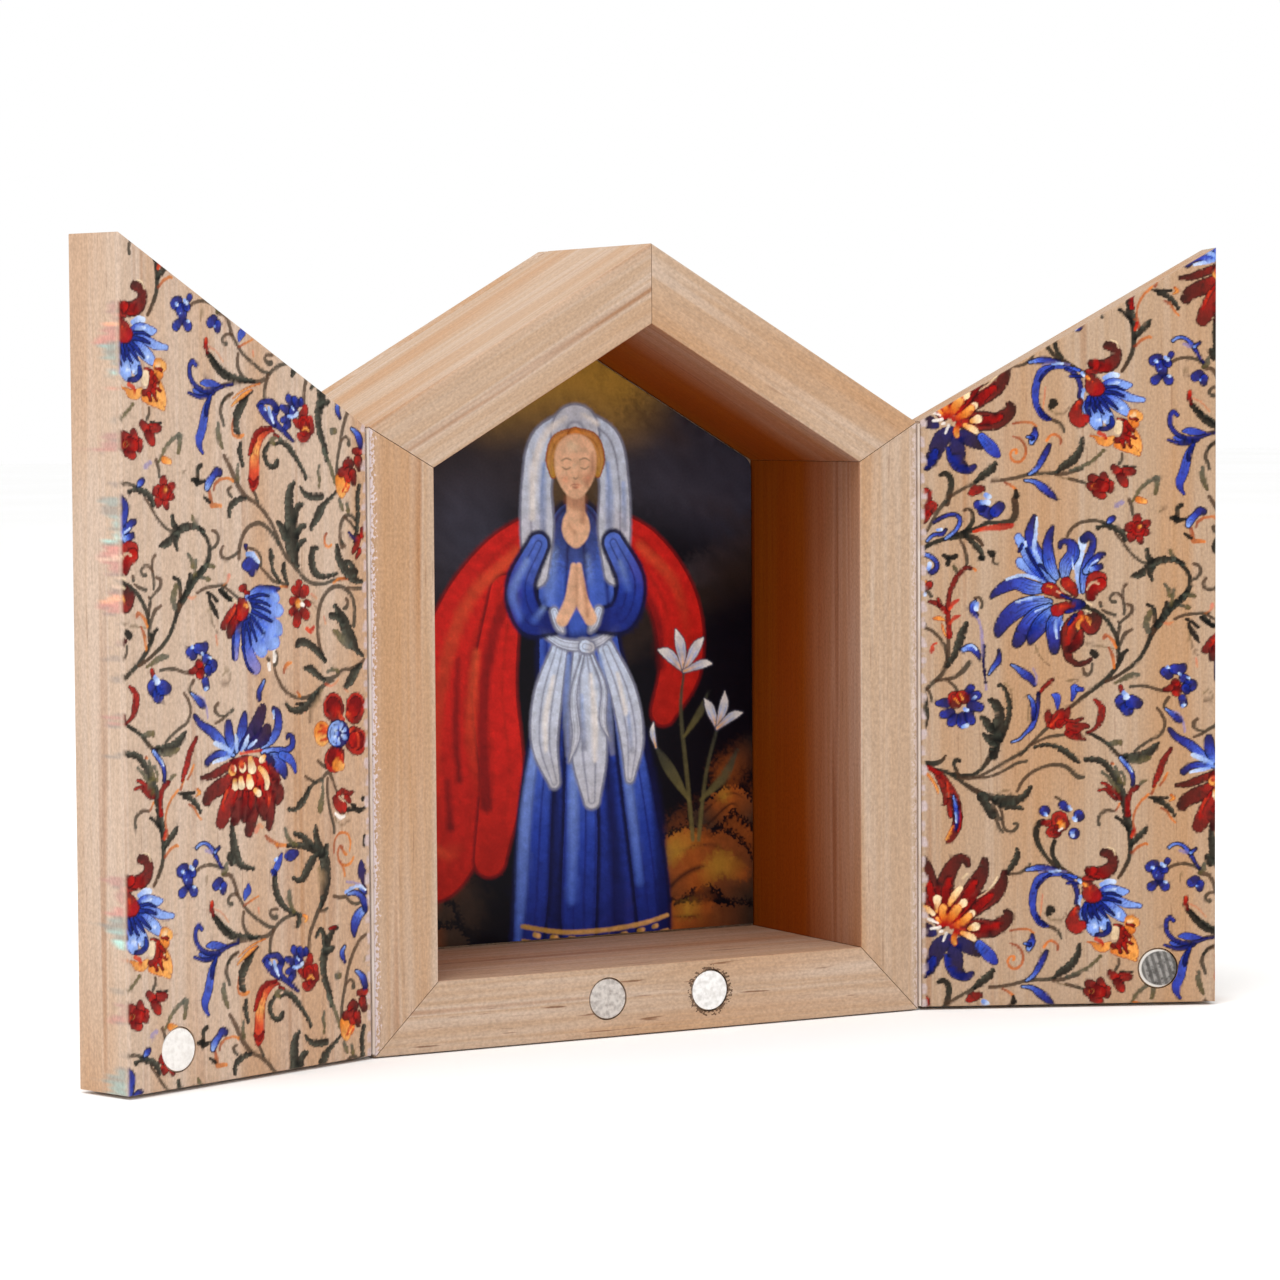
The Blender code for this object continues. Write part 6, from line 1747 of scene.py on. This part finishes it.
@dataclass
class VinePrint:
    """Flowering vine in the manner of old printed cottons, which repeats upwards."""

    left: float = 43.0
    width: float = 75.0
    repeat: float = 76.1
    lean: float = 0.5 / 76.1
    pitch: float = 0.08
    spread: float = 0.05
    canvas: Canvas = field(init=False)

    def __post_init__(self) -> None:
        """Paints one repeat."""
        pitch = self.repeat / round(self.repeat / self.pitch)
        self.canvas = Canvas(
            self.left, 0.0, self.width, self.repeat, pitch, repeats=True, lean=self.lean, spread=self.spread
        )
        for stroke in read_strokes(Brush, VINE):
            self.canvas.lay(stroke)


# Sub-assemblies


def local_points(name: str, hinge: Matrix) -> np.ndarray:
    """Lists a CAD node's points, seen from its hinge with the door closed.

    Args:
        name: the node's name.
        hinge: the hinge's place and turn at rest.

    Returns:
        Rows of x, y and z in metres.
    """
    node = frame["nodes"][name]
    back = hinge.inverted() @ node.matrix_world
    return np.array([tuple(back @ v.co) for v in node.data.vertices])


def dress(names: Sequence[str], material: bpy.types.Material) -> None:
    """Gives CAD nodes a finish.

    Args:
        names: the nodes' names.
        material: the finish.
    """
    for name in names:
        mesh = frame["nodes"][name].data
        mesh.materials.clear()
        mesh.materials.append(material)
        log.info("dressed %s in %s", name, material.name)


@dataclass
class ShrineDoor:
    """A board door: half of the house outline, with the vine printed on its inner face."""

    side: int
    vine: VinePrint
    finish: SawnPine
    magnet: NickelPlate
    up_scale: float = 1.0
    up_from: float = 0.0
    across_scale: float = 1.0
    across_from: float = 45.0
    across_lean: float = 0.0
    # Deepens the print's colours: partly the print's own depth, partly painted shade where the right door's
    # is set deeper than the left's
    ink_depth: float = 1.0
    scraps_cover: float = 0.6
    scraps_colour: str = "#cdbfc8"
    torn_mm: float = 0.75
    torn_swing_mm: float = 0.35
    torn_fade_mm: float = 0.3
    pocket_clearance: float = 0.0001
    glue_line: float = 0.0001
    arris: float = 0.0002
    bleed: float = 0.006

    @property
    def label(self) -> str:
        """The door's side in words."""
        return "left" if self.side < 0 else "right"

    def hinge(self) -> Matrix:
        """Finds the hinge with the door as it stands at rest.

        Returns:
            The hinge's place and turn.
        """
        joint = next(j for j in frame["joints"] if j["name"] == f"{self.label}_door_hinge")
        turn = self.side * -math.radians(joint["range_deg"][0])
        x, y, _ = joint["pos_m"]
        return Matrix.Translation((x, y, 0)) @ Matrix.Rotation(turn, 4, "Z")

    def ink_at(self, x: np.ndarray, z: np.ndarray) -> np.ndarray:
        """Reads the print at places on the closed door's inner face.

        Args:
            x: metres from the hinge's axis, towards the middle of the box for either sign.
            z: metres above the ground.

        Returns:
            Colour times cover, and cover.
        """
        out, up = np.abs(x) / MM, z / MM
        across = self.across_from + self.across_scale * out + self.across_lean * up
        ink = self.vine.canvas.at(across, self.up_scale * up + self.up_from)
        cover = ink[..., 3:]
        # The print deepened here is partly painted shade on the right door
        ink[..., :3] = cover * (ink[..., :3] / np.maximum(cover, 1e-4)) ** self.ink_depth
        # The film was pulled off a ragged strip of print beside the hinge, where milky scraps of
        # film and glue stayed on the wood
        swing = self.torn_swing_mm * np.sin(up * 1.7) * np.sin(up * 0.61 + 2.0)
        torn = np.clip((out - self.torn_mm - swing) / self.torn_fade_mm, 0, 1)
        scraps = (1 - torn) * np.clip(0.5 + np.sin(up * 2.3 + 0.4) + 0.7 * np.sin(up * 5.9), 0, 1)
        scraps = scraps[..., None] * self.scraps_cover
        milky = np.array([*linear(self.scraps_colour), 1.0])
        return ink * torn[..., None] * (1 - scraps) + milky * scraps

    def build(self) -> None:
        """Builds the door and dresses its magnet."""
        hinge = self.hinge()
        board = local_points(f"{self.label}_door", hinge)
        magnet = local_points(f"{self.label}_door_magnet", hinge)
        low, high = board.min(0), board.max(0)
        near, far = (high[0], low[0]) if self.side > 0 else (low[0], high[0])
        near_top = board[np.abs(board[:, 0] - near) < 2 * self.arris][:, 2].max() + self.arris * 0.4
        corners = [(near, low[2]), (near, near_top), (far, high[2]), (far, low[2])]
        corners = corners if self.side > 0 else corners[::-1]
        centre = (magnet.min(0) + magnet.max(0)) / 2
        radius = (magnet[:, 0].max() - magnet[:, 0].min()) / 2 + self.pocket_clearance
        depth = high[1] - magnet[:, 1].min() + self.glue_line
        plate = PrintedPlate(
            corners,
            high[1],
            high[1] - low[1],
            1,
            self.ink_at,
            arris=self.arris,
            pocket=(centre[0], centre[2], radius, depth),
            bleed=self.bleed,
            bleed_side=next(i for i, corner in enumerate(corners) if corner[0] == far),
        )
        door = plate.build(f"{self.label}_door_board")
        door.matrix_world = hinge
        door.data.materials.append(self.finish.material())
        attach(door, f"{self.label}_door")
        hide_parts(f"{self.label}_door")
        log.info("built %s with %d points", door.name, len(door.data.vertices))
        dress([f"{self.label}_door_magnet"], self.magnet.material())


@dataclass
class PictureCard:
    """The printed card at the back of the box, with its picture of a veiled figure at prayer."""

    finish: PrintedCard
    # Painted light: the card's inks are brightened to stand for light that the box's hollow keeps from the
    # card
    painted_light_gain: float = 1.05
    arris: float = 0.00005
    points: int = 80000
    margin_mm: float = 1.0
    pitch_mm: float = 0.1

    def build(self) -> None:
        """Builds the card from the outline of its CAD node."""
        low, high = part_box("picture_panel")
        vertices = frame["nodes"]["picture_panel"].data.vertices
        points = {(round(v.co.x, 6), round(v.co.z, 6)) for v in vertices if v.co.y < low.y + 1e-5}
        middle = (low + high) / 2
        outline = sorted(points, key=lambda p: math.atan2(p[1] - middle.z, p[0] - middle.x))
        corner, size, margin = low / MM, (high - low) / MM, self.margin_mm
        canvas = Canvas(
            corner.x - margin, corner.z - margin, size.x + 2 * margin, size.z + 2 * margin, self.pitch_mm
        )
        for stroke in read_strokes(Pigment, DEVOTION):
            canvas.lay(stroke)
        # The inks are brightened by the painted light gain
        plate = PrintedPlate(
            outline,
            low.y,
            high.y - low.y,
            -1,
            lambda x, z: canvas.at(x / MM, z / MM) * (self.painted_light_gain, self.painted_light_gain, self.painted_light_gain, 1.0),
            arris=self.arris,
            points=self.points,
        )
        card = plate.build("picture_card")
        card.data.materials.append(self.finish.material())
        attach(card, "box")
        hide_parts("picture_panel")
        log.info("built %s with %d points", card.name, len(card.data.vertices))


@dataclass
class ShrineBox:
    """The mitred box, its back panel, magnets and film hinges, all CAD nodes with finishes."""

    # How strongly painted shade darkens the faces inside the box, on the walls and roof and on the bottom
    # board
    inner_shade: float = 1.0
    bottom_inner_shade: float = 0.35

    def build(self) -> None:
        """Dresses the nodes."""
        upright, inner_shade = {"turn": UPRIGHT}, {"hollow_shade_share": self.inner_shade}
        torn = {"hollow_shade_share": self.bottom_inner_shade, "resin_share": 0.7, "torn_hole": (9.0, 5.45, 3.2)}
        boards = (
            ("bottom_board", "pine_sawn_bottom_board", torn),
            ("left_side_board", "pine_sawn_left_side", upright | inner_shade | {"scraps_share": 0.75}),
            ("right_side_board", "pine_sawn_right_side", upright | inner_shade | {"scraps_share": 0.35}),
            ("left_roof_board", "pine_sawn_left_roof", inner_shade | {"turn": (0.0, 30.0, 0.0)}),
            ("right_roof_board", "pine_sawn_right_roof", inner_shade | {"turn": (0.0, -30.0, 0.0)}),
            ("back_panel", "pine_sliced_back_panel", upright),
        )
        for seed, (node, name, settings) in enumerate(boards, start=1):
            dress([node], SawnPine(name, seed=float(seed), **settings).material())
        film = HingeFilm().material()
        for side, colour, dull in (("left", "#d2cbc4", "#a79f99"), ("right", "#f7f6f4", "#dcdad6")):
            dress([f"{side}_hinge_{part}" for part in ("frame_leaf", "fold", "door_leaf")], film)
            plate = NickelPlate(f"nickel_plate_{side}_frame", colour=colour, dull=dull)
            dress([f"{side}_frame_magnet"], plate.material())


@dataclass
class Studio:
    """A plain pale floor, soft light and the camera."""

    camera_place: tuple[float, float, float] = (-0.292508, -0.542173, 0.090834)
    yaw: float = 28.880
    pitch: float = 3.218
    roll: float = -0.364
    lens: float = 117.63
    floor_half: float = 6.0
    floor_gap: float = 0.0002
    target: tuple[float, float, float] = (0.0, 0.0, 0.05)

    def build(self) -> None:
        """Sets the floor, the lights and the camera."""
        scene = bpy.context.scene
        scene.view_settings.view_transform = "Standard"
        bm = bmesh.new()
        bmesh.ops.create_grid(bm, x_segments=1, y_segments=1, size=self.floor_half)
        mesh = bpy.data.meshes.new("floor")
        bm.to_mesh(mesh)
        bm.free()
        floor = bpy.data.objects.new("floor", mesh)
        floor.location.z = -self.floor_gap
        scene.collection.objects.link(floor)
        mesh.materials.append(StudioPaper().material())
        scene.world = bpy.data.worlds.new("studio")
        scene.world.use_nodes = True
        feed(scene.world.node_tree.nodes["Background"], {"Color": (1.0, 1.0, 1.0, 1.0), "Strength": 1.0})
        self._lamp("key", (-0.45, -0.3, 1.1), 0.6, 6.4)
        self._lamp("fill", (0.9, -0.9, 0.5), 0.8, 0.6)
        self._camera()

    def _lamp(self, name: str, place: tuple[float, float, float], size: float, power: float) -> None:
        """Adds a soft square lamp that points at the shrine.

        Args:
            name: the lamp's name.
            place: where it hangs, in metres.
            size: its side, in metres.
            power: its power, in watts.
        """
        data = bpy.data.lights.new(name, "AREA")
        data.size = size
        data.energy = power
        lamp = bpy.data.objects.new(name, data)
        lamp.location = place
        lamp.rotation_euler = (Vector(self.target) - Vector(place)).to_track_quat("-Z", "Y").to_euler()
        bpy.context.scene.collection.objects.link(lamp)

    def _camera(self) -> None:
        """Places the camera where the photograph was taken from."""
        yaw, pitch, roll = (math.radians(a) for a in (self.yaw, self.pitch, self.roll))
        ahead = Vector((math.sin(yaw) * math.cos(pitch), math.cos(yaw) * math.cos(pitch), -math.sin(pitch)))
        right = Vector((math.cos(yaw), -math.sin(yaw), 0.0))
        up = right.cross(ahead)
        side = right * math.cos(roll) + up * math.sin(roll)
        top = up * math.cos(roll) - right * math.sin(roll)
        data = bpy.data.cameras.new("camera")
        data.lens = self.lens
        data.sensor_width = 36.0
        data.clip_start = 0.01
        camera = bpy.data.objects.new("camera", data)
        turn = Matrix((side, top, -ahead)).transposed().to_4x4()
        camera.matrix_world = Matrix.Translation(self.camera_place) @ turn
        bpy.context.scene.collection.objects.link(camera)
        bpy.context.scene.camera = camera


def main() -> None:
    """Builds the shrine and the studio."""
    logging.basicConfig(level=logging.INFO)
    vine = VinePrint()
    ShrineBox().build()
    printed = {"ring_share": 0.55, "turn": UPRIGHT, "printed": True}
    # The doors are one pine and one print; their different tones are painted light, the left door paler and
    # the right darker
    ShrineDoor(
        -1,
        vine,
        SawnPine("pine_printed_left_door", pale="#c9b19e", warm="#bfa289", seed=7.0, **printed),
        NickelPlate("nickel_plate_left_door", colour="#f2f0ec", dull="#e2dfda"),
        up_scale=1.011,
        up_from=-8.75,
        across_scale=-1.0,
        across_from=115.25,
        across_lean=0.0045,
        ink_depth=1.12,
    ).build()
    # Ground stripes, and a painted highlight on the disc's rounded edge
    striped = {"stripe_mm": 0.9, "stripe_turn": 15.0, "rim": "#d9d4cd"}
    # Darker wood and deeper print than the left door's: painted shade
    ShrineDoor(
        1,
        vine,
        SawnPine("pine_printed_right_door", pale="#b99e86", warm="#ad8c6d", seed=8.0, **printed),
        NickelPlate("nickel_plate_right_door", colour="#9b9793", dull="#55524f", **striped),
        across_from=44.75,
        ink_depth=1.3,
    ).build()
    PictureCard(PrintedCard()).build()
    Studio().build()


if __name__ == "__main__":
    main()
